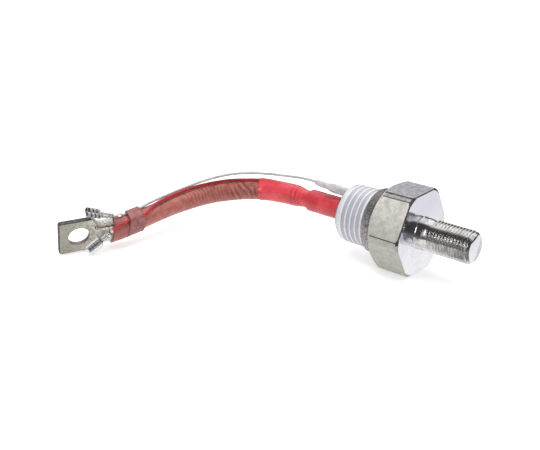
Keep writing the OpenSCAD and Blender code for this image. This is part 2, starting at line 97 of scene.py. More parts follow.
def add_mix(tree, factor, a, b, kind="FLOAT"):
    """Blend from a to b by a factor."""
    return add_node(tree, "Mix", {"Factor": factor, "A": a, "B": b}, data_type=kind).outputs["Result"]


def new_material(name):
    """New material with its node tree and its main shader."""
    material = bpy.data.materials.new(name)
    material.use_nodes = True
    tree = material.node_tree
    return material, tree, tree.nodes["Principled BSDF"]


WHITE = (1, 1, 1, 1)
SOFT_BOX, SIDE_BOX, BACK_WALL, RIGHT_WALL = 1.25, 0.68, 0.36, 0.25
ROOM, PANEL, LOW_STRIP = 0.06, 0.42, 8.0
FILL_LOW, FILL_HIGH, FILL_BEHIND = 0.45, 0.95, 0.5
world = bpy.data.worlds.new("studio")
scene.world = world
world.use_nodes = True
tree = world.node_tree
sides = add_node(tree, "SeparateXYZ", {"Vector": add_node(tree, "TexCoord").outputs["Generated"]})
east, north, up = sides.outputs["X"], sides.outputs["Y"], sides.outputs["Z"]
wall = add_product(tree, add_range(tree, up, 0.0, 0.3, 0.08, 1.0),
                   add_range(tree, east, -0.1, 0.4, BACK_WALL, RIGHT_WALL))
panel = add_product(tree, add_range(tree, up, 0.0, 0.14), add_range(tree, up, 0.47, 0.34),
                    add_range(tree, east, 0.35, 0.05))
strip = add_product(tree, add_range(tree, up, 0.2, 0.32), add_range(tree, up, 0.84, 0.66),
                    add_range(tree, east, -0.04, 0.02), add_range(tree, east, 0.16, 0.09),
                    add_range(tree, north, -0.35, -0.55))
front = add_mix(tree, strip, add_mix(tree, panel, ROOM, PANEL), LOW_STRIP)
around = add_mix(tree, add_range(tree, north, -0.25, 0.25), front, wall)
box_edge = add_math(tree, "ADD", north, add_product(tree, east, -0.5))
box = add_product(tree, add_range(tree, up, 0.4, 0.5), add_range(tree, box_edge, 1.0, 0.9),
                  add_range(tree, north, -0.08, 0.14))
box_light = add_range(tree, east, 0.35, 0.56, SOFT_BOX, SIDE_BOX)
mirrored_room = add_mix(tree, box, around, box_light)
fill = add_product(tree, add_range(tree, up, 0.0, 0.75, FILL_LOW, FILL_HIGH),
                   add_range(tree, north, -0.7, 0.1, FILL_BEHIND, 1.0))
path = add_node(tree, "LightPath")
seen_directly = add_math(tree, "MAXIMUM", path.outputs["Is Camera Ray"], path.outputs["Is Transmission Ray"])
not_mirrored = add_mix(tree, seen_directly, fill, 1.0)
room_light = add_mix(tree, path.outputs["Is Glossy Ray"], not_mirrored, mirrored_room)
set_inputs(tree, tree.nodes["Background"], {"Color": WHITE, "Strength": room_light})

FLOOR_Z, BOARD_HALF = -0.016, 3
BOARD_SEEN, BOARD_GLOW, BOARD_MIRRORED, BOARD_SHADED = 0.5, 0.24, 0.92, 0.12
board_mesh = bpy.data.meshes.new("floor_board")
board_corners = [(x * BOARD_HALF, y * BOARD_HALF, FLOOR_Z) for x, y in ((-1, -1), (1, -1), (1, 1), (-1, 1))]
board_mesh.from_pydata(board_corners, [], [(0, 1, 2, 3)])
board = bpy.data.objects.new("floor_board", board_mesh)
scene.collection.objects.link(board)
board_white, tree, surface = new_material("white_board")
set_inputs(tree, surface, {"Base Color": (0.88, 0.88, 0.88, 1), "Roughness": 0.9, "Specular IOR Level": 0.1})
path = add_node(tree, "LightPath")
glow_strength = add_mix(tree, path.outputs["Is Camera Ray"], BOARD_GLOW, BOARD_SEEN)
glow = add_node(tree, "Emission", {"Color": WHITE, "Strength": glow_strength})
lit_board = add_node(tree, "AddShader", {0: surface.outputs[0], 1: glow.outputs[0]})
place = add_node(tree, "SeparateXYZ", {"Vector": add_node(tree, "TexCoord").outputs["Object"]})
along, across = place.outputs["X"], place.outputs["Y"]
shade_front = add_product(tree, add_range(tree, across, -0.048, -0.068), add_range(tree, along, -0.09, -0.07))
shade_right = add_product(tree, add_range(tree, along, 0.012, 0.018, 0.0, 0.86),
                          add_range(tree, across, 0.003, -0.006))
shade_back = add_product(tree, add_range(tree, across, 0.06, 0.1), add_range(tree, along, 0.02, -0.02))
shade = add_math(tree, "MAXIMUM", shade_front, add_math(tree, "MAXIMUM", shade_right, shade_back))
mirrored_strength = add_mix(tree, shade, BOARD_MIRRORED, BOARD_SHADED)
mirrored_board = add_node(tree, "Emission", {"Color": WHITE, "Strength": mirrored_strength})
plain_or_mirrored = add_node(tree, "MixShader", {
    "Fac": path.outputs["Is Glossy Ray"], 1: lit_board.outputs[0], 2: mirrored_board.outputs[0]})
set_inputs(tree, tree.nodes["Material Output"], {"Surface": plain_or_mirrored.outputs[0]})
board_mesh.materials.append(board_white)

LAMP_PLACE, LAMP_AIM, LAMP_SIZE, LAMP_WATTS = (-0.1, 0.0, 0.6), (-0.05, -0.03, 0), (0.6, 0.5), 2.6
lamp_data = bpy.data.lights.new("soft_lamp_above", "AREA")
lamp_data.shape = "RECTANGLE"
lamp_data.size, lamp_data.size_y = LAMP_SIZE
lamp_data.energy = LAMP_WATTS
lamp = bpy.data.objects.new("soft_lamp_above", lamp_data)
lamp.location = LAMP_PLACE
lamp.rotation_euler = (Vector(LAMP_AIM) - Vector(LAMP_PLACE)).to_track_quat("-Z", "Y").to_euler()
lamp.visible_glossy = False
scene.collection.objects.link(lamp)


# Stud base. It is turned and milled from one copper bar and nickel-plated: a hexagon with turned
# corners and a turned bevel at its rear, a flat seating face, and a stud with a cut thread.
MM = 0.001


def soften(piece, angle):
    """Smooth shading, with sharp edges where faces meet at more than an angle in degrees."""
    for polygon in piece.data.polygons:
        polygon.use_smooth = True
    piece.data.set_sharp_from_angle(angle=radians(angle))


def shaped(name, points, faces, material, angle=35):
    """Piece from points in millimetres and faces."""
    mesh = bpy.data.meshes.new(name)
    mesh.from_pydata([(x * MM, y * MM, z * MM) for x, y, z in points], [], faces)
    mesh.validate()
    piece = bpy.data.objects.new(name, mesh)
    scene.collection.objects.link(piece)
    if material:
        mesh.materials.append(material)
    soften(piece, angle)
    return piece


def tidied(piece, gap=0.002, angle=35):
    """Joins points that lie within a gap in millimetres and turns all faces outwards."""
    work = bmesh.new()
    work.from_mesh(piece.data)
    bmesh.ops.remove_doubles(work, verts=work.verts, dist=gap * MM)
    bmesh.ops.dissolve_degenerate(work, edges=work.edges, dist=gap * MM * 0.5)
    bmesh.ops.recalc_face_normals(work, faces=work.faces)
    work.to_mesh(piece.data)
    work.free()
    soften(piece, angle)
    return piece


def turned(name, outline, material, sides=128, closed=False, angle=35):
    """Piece turned round the X axis from points given as distance along X and radius."""
    points, faces, rows = [], [], len(outline)
    for x, r in outline:
        for k in range(sides):
            turn = 2 * pi * k / sides
            points.append((x, r * cos(turn), r * sin(turn)))
    for i in range(rows if closed else rows - 1):
        for k in range(sides):
            j, m = (i + 1) % rows, (k + 1) % sides
            faces.append((i * sides + k, i * sides + m, j * sides + m, j * sides + k))
    return tidied(shaped(name, points, faces, material, angle), angle=angle)


def applied(piece):
    """Turns a piece's modifiers into its mesh."""
    graph = bpy.context.evaluated_depsgraph_get()
    mesh = bpy.data.meshes.new_from_object(piece.evaluated_get(graph))
    piece.modifiers.clear()
    piece.data = mesh
    return piece


def cut_with(piece, tool, operation):
    """Cuts a piece with a tool or keeps what lies in it, and takes the tool away."""
    change = piece.modifiers.new("cut", "BOOLEAN")
    change.operation = operation
    change.solver = "EXACT"
    change.object = tool
    applied(piece)
    bpy.data.objects.remove(tool)
    return piece


def joined(pieces, name):
    """One piece from several, with the materials of the first."""
    work = bmesh.new()
    for piece in pieces:
        work.from_mesh(piece.data)
    whole = pieces[0]
    work.to_mesh(whole.data)
    work.free()
    for piece in pieces[1:]:
        bpy.data.objects.remove(piece)
    whole.name = name
    return whole


def new_look(name):
    """Group with the sockets of a look, given with its inputs, the scale of its patches and its output."""
    look = bpy.data.node_groups.new(name, "ShaderNodeTree")
    for socket, kind in (("Vector", "Vector"), ("Light", "Color"), ("Dark", "Color"), ("Patch Size", "Float"),
                         ("Smooth", "Float"), ("Rough", "Float")):
        look.interface.new_socket(socket, in_out="INPUT", socket_type="NodeSocket" + kind)
    for socket, kind in (("Color", "Color"), ("Roughness", "Float"), ("Height", "Float")):
        look.interface.new_socket(socket, in_out="OUTPUT", socket_type="NodeSocket" + kind)
    given = look.nodes.new("NodeGroupInput").outputs
    scale = add_math(look, "DIVIDE", 1 / MM, given["Patch Size"])
    return look, given, scale, look.nodes.new("NodeGroupOutput")


def plated_look():
    """Plated metal: light and dark patches, smooth where light and rough where dark."""
    look, given, scale, out = new_look("plated_surface")
    patches = add_node(look, "TexNoise", {"Vector": given["Vector"], "Scale": scale, "Detail": 5.0,
                                          "Roughness": 0.62, "Distortion": 0.4}).outputs["Fac"]
    fine = add_node(look, "TexNoise", {"Vector": given["Vector"], "Scale": add_product(look, scale, 6.0),
                                       "Detail": 3.0, "Roughness": 0.6}).outputs["Fac"]
    both = add_math(look, "ADD", add_product(look, patches, 0.72), add_product(look, fine, 0.28))
    mask = add_range(look, both, 0.36, 0.64)
    set_inputs(look, out, {"Color": add_mix(look, mask, given["Dark"], given["Light"], "RGBA"),
                           "Roughness": add_mix(look, mask, given["Rough"], given["Smooth"]), "Height": both})
    return look


def placed(tree, look, light, dark, patch, smooth, rough):
    """Object coordinates of a material, and the outputs of a look placed in it with its own values."""
    place = add_node(tree, "TexCoord").outputs["Object"]
    inputs = {"Vector": place, "Light": light + (1,), "Dark": dark + (1,), "Patch Size": patch,
              "Smooth": smooth, "Rough": rough}
    return place, add_node(tree, "Group", inputs, node_tree=look).outputs


def add_relief(tree, height, strength):
    """Normal of a surface with a fine relief."""
    inputs = {"Height": height, "Strength": strength, "Distance": RELIEF_DEPTH}
    return add_node(tree, "Bump", inputs).outputs["Normal"]


PLATED = plated_look()
RELIEF_DEPTH = 0.0002


def plated_material(name, light, dark, patch=3.0, smooth=0.3, rough=0.5, bump=0.12, metallic=1.0,
                    marks=None, darker_along=None, darker_axis="Z"):
    """Plated or worn metal. Patches are in millimetres; marks adds its own height; darker_along gives where
    on an axis the colour starts to darken and where it is fully darker, how much, and the darker colour,
    which most of the materials below use for painted shade."""
    material, tree, surface = new_material(name)
    place, plating = placed(tree, PLATED, light, dark, patch, smooth, rough)
    color, height = plating["Color"], plating["Height"]
    if darker_along:
        plain_at, full_at, share, darker_color = darker_along
        level = add_node(tree, "SeparateXYZ", {"Vector": place}).outputs[darker_axis]
        darker_share = add_range(tree, level, plain_at, full_at, 0.0, share)
        color = add_mix(tree, darker_share, color, darker_color + (1,), "RGBA")
    if marks:
        height = add_math(tree, "ADD", height, marks(tree, place))
    set_inputs(tree, surface, {"Base Color": color, "Roughness": plating["Roughness"], "Metallic": metallic,
                               "Normal": add_relief(tree, height, bump)})
    return material


def turning_marks(tree, place):
    """Fine rings left by the turning tool, along the axis and on the faces across it."""
    mark_scale, mark_depth = 9000.0, 0.35
    parts = add_node(tree, "SeparateXYZ", {"Vector": place}).outputs
    squares = add_math(tree, "ADD", add_product(tree, parts["Y"], parts["Y"]),
                       add_product(tree, parts["Z"], parts["Z"]))
    ring = add_math(tree, "ADD", add_math(tree, "SQRT", squares), parts["X"])
    along = add_product(tree, ring, mark_scale)
    rings = add_node(tree, "TexNoise", {"W": along, "Scale": 1.0, "Detail": 2.0}, noise_dimensions="1D")
    return add_product(tree, rings.outputs["Fac"], mark_depth)


# Painted light: the flats are lighter towards the top and darker towards the bottom, where less light falls.
nickel_satin = plated_material("nickel_plate_satin", (0.97, 0.95, 0.9), (0.66, 0.63, 0.57), patch=2.0,
                               smooth=0.36, rough=0.58, bump=0.35, metallic=0.28,
                               darker_along=(0.0145, -0.004, 0.72, (0.38, 0.365, 0.32)))
# Painted shade: a nearly black plating for bevels and the edges of the corner lands, standing in for the dark
# reflections there.
nickel_painted_edge_shade = plated_material("nickel_plate_painted_edge_shade", (0.16, 0.14, 0.14), (0.05, 0.045, 0.045), patch=1.4,
                              smooth=0.5, rough=0.7, metallic=0.4)
# Painted reflection: the faces across the axis turn darker and bluer towards the top, as a far, greyer board
# would show in them.
nickel_face = plated_material("nickel_plate_face", (0.95, 0.94, 0.98), (0.86, 0.85, 0.91), patch=7.0,
                              smooth=0.07, rough=0.14, bump=0.02, marks=turning_marks,
                              darker_along=(-0.008, 0.01, 0.6, (0.66, 0.67, 0.76)))
nickel_bright = plated_material("nickel_plate_bright", (0.88, 0.87, 0.86), (0.56, 0.54, 0.52), patch=2.2,
                                smooth=0.09, rough=0.2, bump=0.05)
# Painted shade: a darker, lilac copy of the plating for the top flat, standing in for its dark reflection.
nickel_top_painted_shade = plated_material("nickel_plate_top_painted_shade", (0.62, 0.6, 0.66), (0.32, 0.31, 0.35), patch=2.0,
                                 bump=0.25, metallic=0.55)
# Painted shade: a darker copy of the plating for the upper front corner land, so that it shines less.
nickel_land_painted_shade = plated_material("nickel_plate_turned_painted_shade", (0.5, 0.485, 0.495), (0.26, 0.25, 0.255), patch=1.6,
                              smooth=0.4, rough=0.6, bump=0.2, metallic=0.3)
SATIN, SHADED_EDGE, FACE, BRIGHT, TOP_SHADE, LAND_SHADE = range(6)

HEX_AF, HEX_TURNED_D, HEX_H, HEX_BEVEL = 32, 35.4, 14.5, 2.3
SEAT_EDGE, CORNER_EDGE, EDGE_ROUND = 0.4, 0.26, 0.95
CORNER_TURN, LAND_OFF_FLAT, LAND_FROM, LAND_FROM_FRONT, LAND_TO_FRONT = 8, 24.5, 27, 28.4, 33.4
corner_r = HEX_AF / 2 / cos(radians(30))
prism_rings = [(-HEX_H, corner_r), (-SEAT_EDGE, corner_r), (0, corner_r - SEAT_EDGE / cos(radians(30)))]
prism_points = [(x, r * cos(radians(60 * k)), r * sin(radians(60 * k))) for x, r in prism_rings
                for k in range(6)]
prism_faces = [tuple(range(5, -1, -1)), tuple(range(12, 18))]
for ring in (0, 6):
    prism_faces += [(ring + k, ring + (k + 1) % 6, ring + (k + 1) % 6 + 6, ring + k + 6) for k in range(6)]
hexagon = tidied(shaped("hexagon", prism_points, prism_faces, nickel_satin))
turned_r = HEX_TURNED_D / 2
blank = turned("turned_blank", [(0, 0), (0, turned_r - EDGE_ROUND), (-0.8, turned_r),
                                (HEX_BEVEL - HEX_H, turned_r), (-HEX_H, turned_r - HEX_BEVEL * 1.08),
                                (-HEX_H, 0)], None, sides=240)
cut_with(hexagon, blank, "INTERSECT")
for material in (nickel_painted_edge_shade, nickel_face, nickel_bright, nickel_top_painted_shade, nickel_land_painted_shade):
    hexagon.data.materials.append(material)
edge_round = hexagon.modifiers.new("edge_round", "BEVEL")
edge_round.width = CORNER_EDGE * MM
edge_round.segments = 2
edge_round.limit_method = "ANGLE"
edge_round.angle_limit = radians(12)
edge_round.material = SHADED_EDGE
applied(hexagon)
soften(hexagon, 40)
# Painted shade: bevels that face the seat and upwards, the rear bevel at the corners and the edges of the
# corner lands take the nearly black edge plating; the top flat and the upper front land take darker copies of
# the plating.
for polygon in hexagon.data.polygons:
    normal, centre = polygon.normal, polygon.center / MM
    facing = degrees(atan2(-normal.y, normal.z))
    off_flat = abs((facing + 30) % 60 - 30)
    across_land = (degrees(atan2(-centre.y, centre.z)) + 60) % 60
    upper_front = 0 < facing < 60
    finish_and_shade = SATIN
    if abs(normal.x) > 0.998:
        polygon.use_smooth = False
        finish_and_shade = FACE
    elif abs(normal.x) < 0.002 and off_flat < 0.3:
        polygon.use_smooth = False
        if abs(facing) < 1:
            finish_and_shade = TOP_SHADE
    elif normal.x > 0.3:
        if normal.z > 0.0:
            finish_and_shade = SHADED_EDGE
    elif centre.x < HEX_BEVEL - HEX_H - 0.1:
        if polygon.material_index == SHADED_EDGE and abs(across_land - 30) < CORNER_TURN:
            finish_and_shade = SHADED_EDGE
    elif off_flat > LAND_OFF_FLAT:
        land_from = LAND_FROM_FRONT if upper_front else LAND_FROM
        if across_land < land_from or across_land > LAND_TO_FRONT and upper_front:
            finish_and_shade = SHADED_EDGE
        elif upper_front:
            finish_and_shade = LAND_SHADE
    polygon.material_index = finish_and_shade

STUD_D, STUD_LEN, NECK_LEN, STUD_CHAMFER = 12.7, 22, 5.2, 1.4
PITCH, THREAD_DEPTH, FLANK_SHARE, FLANK_START, FLANK_ROUNDNESS = 1.27, 0.74, 1.32, 0.12, 0.35
LEAD_IN_SLOPE, CHAMFER_SLOPE = 0.9, 0.85
SEAT_FILLET, RUNOUT_R, PLATFORM_R = 0.12, 5.86, 7.7
ROUND_STEPS, PITCH_STEPS, TAPER_STEPS, TAPER_FROM = 96, 12, 12, 1.4
stud_r = STUD_D / 2 - 0.02


def stud_radius(x, turn):
    """Radius of the stud at a distance along it and an angle round it, with the cut thread."""
    wave = (x / PITCH - turn / (2 * pi)) % 1.0
    flank = min(max((1 - abs(2 * wave - 1)) * FLANK_SHARE - FLANK_START, 0.0), 1.0)
    rounded = flank * flank * (3 - 2 * flank) * FLANK_ROUNDNESS + flank * (1 - FLANK_ROUNDNESS)
    crest = stud_r - THREAD_DEPTH * (1 - rounded)
    lead_in = RUNOUT_R + (x - NECK_LEN) * LEAD_IN_SLOPE
    tip = stud_r - max(0.0, x - (STUD_LEN - STUD_CHAMFER)) * CHAMFER_SLOPE
    return min(crest, lead_in, tip)


rows = ceil((STUD_LEN - NECK_LEN) / PITCH * PITCH_STEPS) + PITCH_STEPS
stud_points, stud_faces = [], []
for i in range(rows + 1):
    for k in range(ROUND_STEPS):
        turn = 2 * pi * k / ROUND_STEPS
        x = NECK_LEN + (i - PITCH_STEPS + PITCH_STEPS * k / ROUND_STEPS) * PITCH / PITCH_STEPS
        x = min(max(x, NECK_LEN), STUD_LEN)
        r = stud_radius(x, turn)
        stud_points.append((x, r * cos(turn), r * sin(turn)))
for i in range(rows):
    this_row, next_row = i * ROUND_STEPS, (i + 1) * ROUND_STEPS
    for k in range(ROUND_STEPS - 1):
        stud_faces.append((this_row + k, this_row + k + 1, next_row + k + 1, next_row + k))
    a, b = min(i + PITCH_STEPS, rows), min(i + 1 + PITCH_STEPS, rows)
    last = ROUND_STEPS - 1
    stud_faces.append((this_row + last, a * ROUND_STEPS, b * ROUND_STEPS, next_row + last))
thread = tidied(shaped("thread", stud_points, stud_faces, nickel_bright), angle=60)
shank_line = [(-1, stud_r + SEAT_FILLET), (0, stud_r + SEAT_FILLET), (0.1, stud_r + 0.05), (0.3, stud_r)]
for step in range(TAPER_STEPS + 1):
    share = step / TAPER_STEPS
    shank_line.append((TAPER_FROM + (NECK_LEN - TAPER_FROM) * share,
                       stud_r - (stud_r - RUNOUT_R) * share ** 3 * (4 - 3 * share)))
shank = turned("shank", shank_line, nickel_bright, sides=ROUND_STEPS, angle=50)
tip = turned("tip", [(STUD_LEN, 0), (STUD_LEN, stud_radius(STUD_LEN, 0))], nickel_bright, sides=ROUND_STEPS)
platform = turned("platform", [(-HEX_H + 1, 0), (-HEX_H + 1, PLATFORM_R), (-HEX_H - 1, PLATFORM_R),
                               (-HEX_H - 1, 0)], nickel_bright, sides=96)
stud = tidied(joined([thread, shank, tip], "stud"), gap=0.01, angle=50)
for polygon in stud.data.polygons:
    on_end = polygon.center.x > (STUD_LEN - 0.01) * MM and polygon.normal.x > 0.9
    polygon.material_index = FACE if on_end else BRIGHT
stud_base = joined([hexagon, stud, platform], "stud_base_dressed")
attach(stud_base, "root")
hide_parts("stud_base")


# Weld ring and skirt. Two steel rings with a dull plate, one brazed to the base and one to the front of
# the ceramic; the weld that joins them leaves a fine step.
RING_R, RING_BORE_R, SKIRT_BORE_R, SKIRT_ROUND = 13, 7.9, 9.5, 0.9
RING_FRONT, SKIRT_FRONT, CERAMIC_FRONT = -14.5, -16.3, -19.9
# Painted shade: the plate turns nearly black towards the top of the rings.
ring_steel = plated_material("ring_steel_dull", (0.64, 0.62, 0.61), (0.08, 0.075, 0.075), patch=0.6,
                             bump=0.45, metallic=0.45, darker_along=(-0.003, 0.014, 0.75, (0.11, 0.1, 0.1)))
ring_line = [(RING_FRONT, RING_BORE_R), (RING_FRONT, RING_R - 0.1), (RING_FRONT - 0.1, RING_R),
             (SKIRT_FRONT + 0.25, RING_R), (SKIRT_FRONT + 0.06, RING_R - 0.12),
             (SKIRT_FRONT, RING_R - 0.25), (SKIRT_FRONT, RING_BORE_R)]
weld_ring = turned("weld_ring_dressed", ring_line, ring_steel, sides=160, closed=True)
skirt_line = [(SKIRT_FRONT, SKIRT_BORE_R), (SKIRT_FRONT, RING_R - 0.25), (SKIRT_FRONT - 0.08, RING_R - 0.1),
              (SKIRT_FRONT - 0.2, RING_R)]
for a in range(0, 91, 10):
    skirt_line.append((CERAMIC_FRONT + SKIRT_ROUND - SKIRT_ROUND * sin(radians(a)),
                       RING_R - SKIRT_ROUND + SKIRT_ROUND * cos(radians(a))))
skirt_line.append((CERAMIC_FRONT, SKIRT_BORE_R))
cap_skirt = turned("cap_skirt_dressed", skirt_line, ring_steel, sides=160, closed=True)
for piece, node in ((weld_ring, "weld_ring"), (cap_skirt, "cap_skirt")):
    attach(piece, "root")
    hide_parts(node)


# Ceramic housing. A tube of white fired alumina with rounded hollows between narrow crests, glazed
# on the outside.
CERAMIC_R, CERAMIC_BACK, CERAMIC_BORE_R, BACK_ROUND = 11.9, -32.5, 9.5, 0.6
RIB_COUNT, RIB_PITCH, RIB_DEPTH, CREST_W, FIRST_CREST, CREST_FALL = 5, 2.33, 0.6, 0.4, 0.9, 0.06
glaze, tree, surface = new_material("glazed_alumina")
place = add_node(tree, "TexCoord").outputs["Object"]
parts = add_node(tree, "SeparateXYZ", {"Vector": place}).outputs
across = add_node(tree, "CombineXYZ", {"Y": parts["Y"], "Z": parts["Z"]})
radius = add_node(tree, "VectorMath", {0: across.outputs[0]}, operation="LENGTH").outputs["Value"]
# Painted shade: the hollows between the crests are coloured lilac-grey and the crests white.
unshaded_crest = add_range(tree, radius, (CERAMIC_R - RIB_DEPTH * 0.75) * MM, (CERAMIC_R - 0.05) * MM)
glaze_with_painted_shade = add_mix(tree, unshaded_crest, (0.48, 0.48, 0.545, 1), (0.9, 0.9, 0.93, 1), "RGBA")
pits = add_node(tree, "TexNoise", {"Vector": place, "Scale": 900.0, "Detail": 2.0}).outputs["Fac"]
set_inputs(tree, surface, {"Base Color": glaze_with_painted_shade, "Coat Weight": 0.5, "Coat Roughness": 0.08,
                           "Roughness": add_range(tree, pits, 0.3, 0.7, 0.16, 0.3),
                           "Normal": add_relief(tree, pits, 0.05)})

outline = [(CERAMIC_FRONT, CERAMIC_BORE_R), (CERAMIC_FRONT, CERAMIC_R - 0.1),
           (CERAMIC_FRONT - 0.1, CERAMIC_R)]
for i in range(RIB_COUNT):
    crest = CERAMIC_FRONT - FIRST_CREST - i * RIB_PITCH
    outline += [(crest + CREST_W / 2, CERAMIC_R - CREST_FALL), (crest + CREST_W / 4, CERAMIC_R),
                (crest - CREST_W / 4, CERAMIC_R)]
    if i < RIB_COUNT - 1:
        outline.append((crest - CREST_W / 2, CERAMIC_R - CREST_FALL))
        for step in range(1, 10):
            along = step / 10
            hollow = sqrt(max(0.0, 1 - (2 * along - 1) ** 2)) ** 1.2
            outline.append((crest - CREST_W / 2 - (RIB_PITCH - CREST_W) * along,
                            CERAMIC_R - (CREST_FALL + (RIB_DEPTH - CREST_FALL) * hollow)))
collar = CERAMIC_FRONT - FIRST_CREST - (RIB_COUNT - 1) * RIB_PITCH
outline += [(collar - CREST_W / 2, CERAMIC_R - 0.04), (collar - CREST_W, CERAMIC_R - 0.2),
            (CERAMIC_BACK + BACK_ROUND, CERAMIC_R - 0.25)]
for a in range(15, 91, 15):
    outline.append((CERAMIC_BACK + BACK_ROUND - BACK_ROUND * sin(radians(a)),
                    CERAMIC_R - 0.85 + BACK_ROUND * cos(radians(a))))
outline.append((CERAMIC_BACK, CERAMIC_BORE_R))
ceramic = turned("ceramic_housing_dressed", outline, glaze, sides=192, closed=True, angle=50)
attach(ceramic, "root")
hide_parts("ceramic_housing")


# Cable lug. Pressed from tinned copper tube: a flat plate with a hole, a shoulder and a crimped barrel
# with a folded seam, in which the rope ends. It lies at the end of the lead's route.
LUG_W, LUG_T, LUG_LEAN, LUG_HOLE_D = 15.8, 2.2, 20, 8.5
LUG_Z = LUG_W / 2 * cos(radians(LUG_LEAN)) + LUG_T / 2 * sin(radians(LUG_LEAN)) - HEX_AF / 2
BAND_LEN, BAND_INSET = 7, 0.35
BAND_FROM = Vector((-104.2, -50.2, -6.85))
BAND_AHEAD = Vector((-0.85, -6, -0.7)).normalized()
BAND_TO = BAND_FROM + (BAND_LEN + 2 * BAND_INSET) * BAND_AHEAD
LEAD_POINTS = [Vector(p) for p in (
    (-37, 0, 0), (-46, 0, 0), (-56, 0, 0), (-64, 0, 0), (-70, -0.6, -0.2), (-77, -2.2, -0.7),
    (-84, -5.2, -1.4), (-91, -9.6, -2.4), (-96.4, -15, -3.3), (-100, -21.6, -4.1), (-102.4, -29, -5),
    (-103.7, -37, -5.7), (-104.1, -45, -6.4), BAND_FROM, BAND_TO, (-105.92, -60.21, LUG_Z),
    (-107.4, -63.93, LUG_Z), (-109.09, -68.21, LUG_Z))]


def bell(share):
    """Bell curve, 1 in the middle."""
    return 2.718 ** (-share ** 2)


def eased(value, low, high):
    """Smooth change from 0 to 1 while a value goes from low to high."""
    t = min(max((value - low) / (high - low), 0.0), 1.0)
    return t * t * (3 - 2 * t)


def place_in(origin, ahead, face):
    """Matrix from a piece's own frame, X ahead and Z towards a face, to the part's in millimetres."""
    x = ahead.normalized()
    y = face.cross(x).normalized()
    z = x.cross(y)
    return Matrix(((x.x, y.x, z.x, origin.x), (x.y, y.y, z.y, origin.y), (x.z, y.z, z.z, origin.z),
                   (0, 0, 0, 1)))


def moved(piece, matrix):
    """Moves a piece's vertices from its own frame in millimetres to their place in the part's frame."""
    for vertex in piece.data.vertices:
        vertex.co = (matrix @ (vertex.co / MM)) * MM
    return piece


def lofted(name, sections, material, angle=35, capped=True):
    """Closed piece through sections that have the same number of points."""
    size, points, faces = len(sections[0]), [], []
    for section in sections:
        points.extend(section)
    for i in range(len(sections) - 1):
        for k in range(size):
            m = (k + 1) % size
            faces.append((i * size + k, i * size + m, (i + 1) * size + m, (i + 1) * size + k))
    if capped:
        faces.append(tuple(range(size - 1, -1, -1)))
        faces.append(tuple(range((len(sections) - 1) * size, len(sections) * size)))
    return shaped(name, points, faces, material, angle)


LUG_BORE_STOP, LUG_NECK, LUG_REACH, LUG_PLATE_START, LUG_END, LUG_CORNER = 8.8, 7.6, 17, 4.9, 8.1, 1.2
LUG_BARREL_R, LUG_BORE_R, LUG_SEAM_TURN, LUG_SEAM_W, LUG_SEAM_DEPTH = 4.55, 3.1, 62, 5, 0.16
ARC_STEPS, FLAT_STEPS = 14, 10
lug_ahead = (LEAD_POINTS[-1] - LEAD_POINTS[-2]).normalized()
lug_face = Vector((cos(radians(LUG_LEAN)) * -lug_ahead.y, cos(radians(LUG_LEAN)) * lug_ahead.x,
                   -sin(radians(LUG_LEAN))))
lug_hole_at = LEAD_POINTS[-1] + lug_ahead * LUG_BORE_STOP


def lug_section(x):
    """Section across the lug: a circle at the barrel that widens into a thin bar with small edges."""
    flat = eased(x, -LUG_NECK - 0.9, -LUG_PLATE_START)
    half_w = LUG_BARREL_R + (LUG_W / 2 - LUG_BARREL_R) * flat
    half_t = LUG_BARREL_R + (LUG_T / 2 - LUG_BARREL_R) * flat
    past = max(0.0, x - (LUG_END - LUG_CORNER))
    half_w -= LUG_CORNER - sqrt(max(0.0, LUG_CORNER ** 2 - past ** 2))
    half_t -= 0.2 * eased(x, LUG_END - 0.2, LUG_END)
    edge = min(half_w, half_t) * 0.98 * (1 - flat) ** 1.5 + 0.22 * flat
    seam = (1 - flat) + 0.5 * flat * (1 - eased(x, -5.6, -2.6))
    points = []
    for quarter, (side_y, side_z) in enumerate(((1, 1), (1, -1), (-1, -1), (-1, 1))):
        centre_y, centre_z = side_y * (half_w - edge), side_z * (half_t - edge)
        for k in range(ARC_STEPS + 1):
            turn = pi / 2 * (quarter + k / ARC_STEPS)
            points.append((centre_y + edge * sin(turn), centre_z + edge * cos(turn)))
        next_y, next_z = (centre_y, -centre_z) if quarter % 2 == 0 else (-centre_y, centre_z)
        end_turn = pi / 2 * (quarter + 1)
        a = (centre_y + edge * sin(end_turn), centre_z + edge * cos(end_turn))
        b = (next_y + edge * sin(end_turn), next_z + edge * cos(end_turn))
        for k in range(1, FLAT_STEPS):
            points.append((a[0] + (b[0] - a[0]) * k / FLAT_STEPS, a[1] + (b[1] - a[1]) * k / FLAT_STEPS))
    ring = []
    for y, z in points:
        away = (atan2(y / half_w, z / half_t) + radians(LUG_SEAM_TURN)) / radians(LUG_SEAM_W)
        dip = 1 - LUG_SEAM_DEPTH * seam * bell(away)
        ring.append((x, y * dip, z * dip))
    return ring


# The tin turns darker towards the plate's end.
tin = plated_material("tinned_copper_worn", (0.94, 0.91, 0.84), (0.4, 0.38, 0.31), patch=0.9, rough=0.55,
                      bump=0.5, metallic=0.38, darker_along=(-0.069, -0.081, 0.75, (0.3, 0.285, 0.23)),
                      darker_axis="Y")
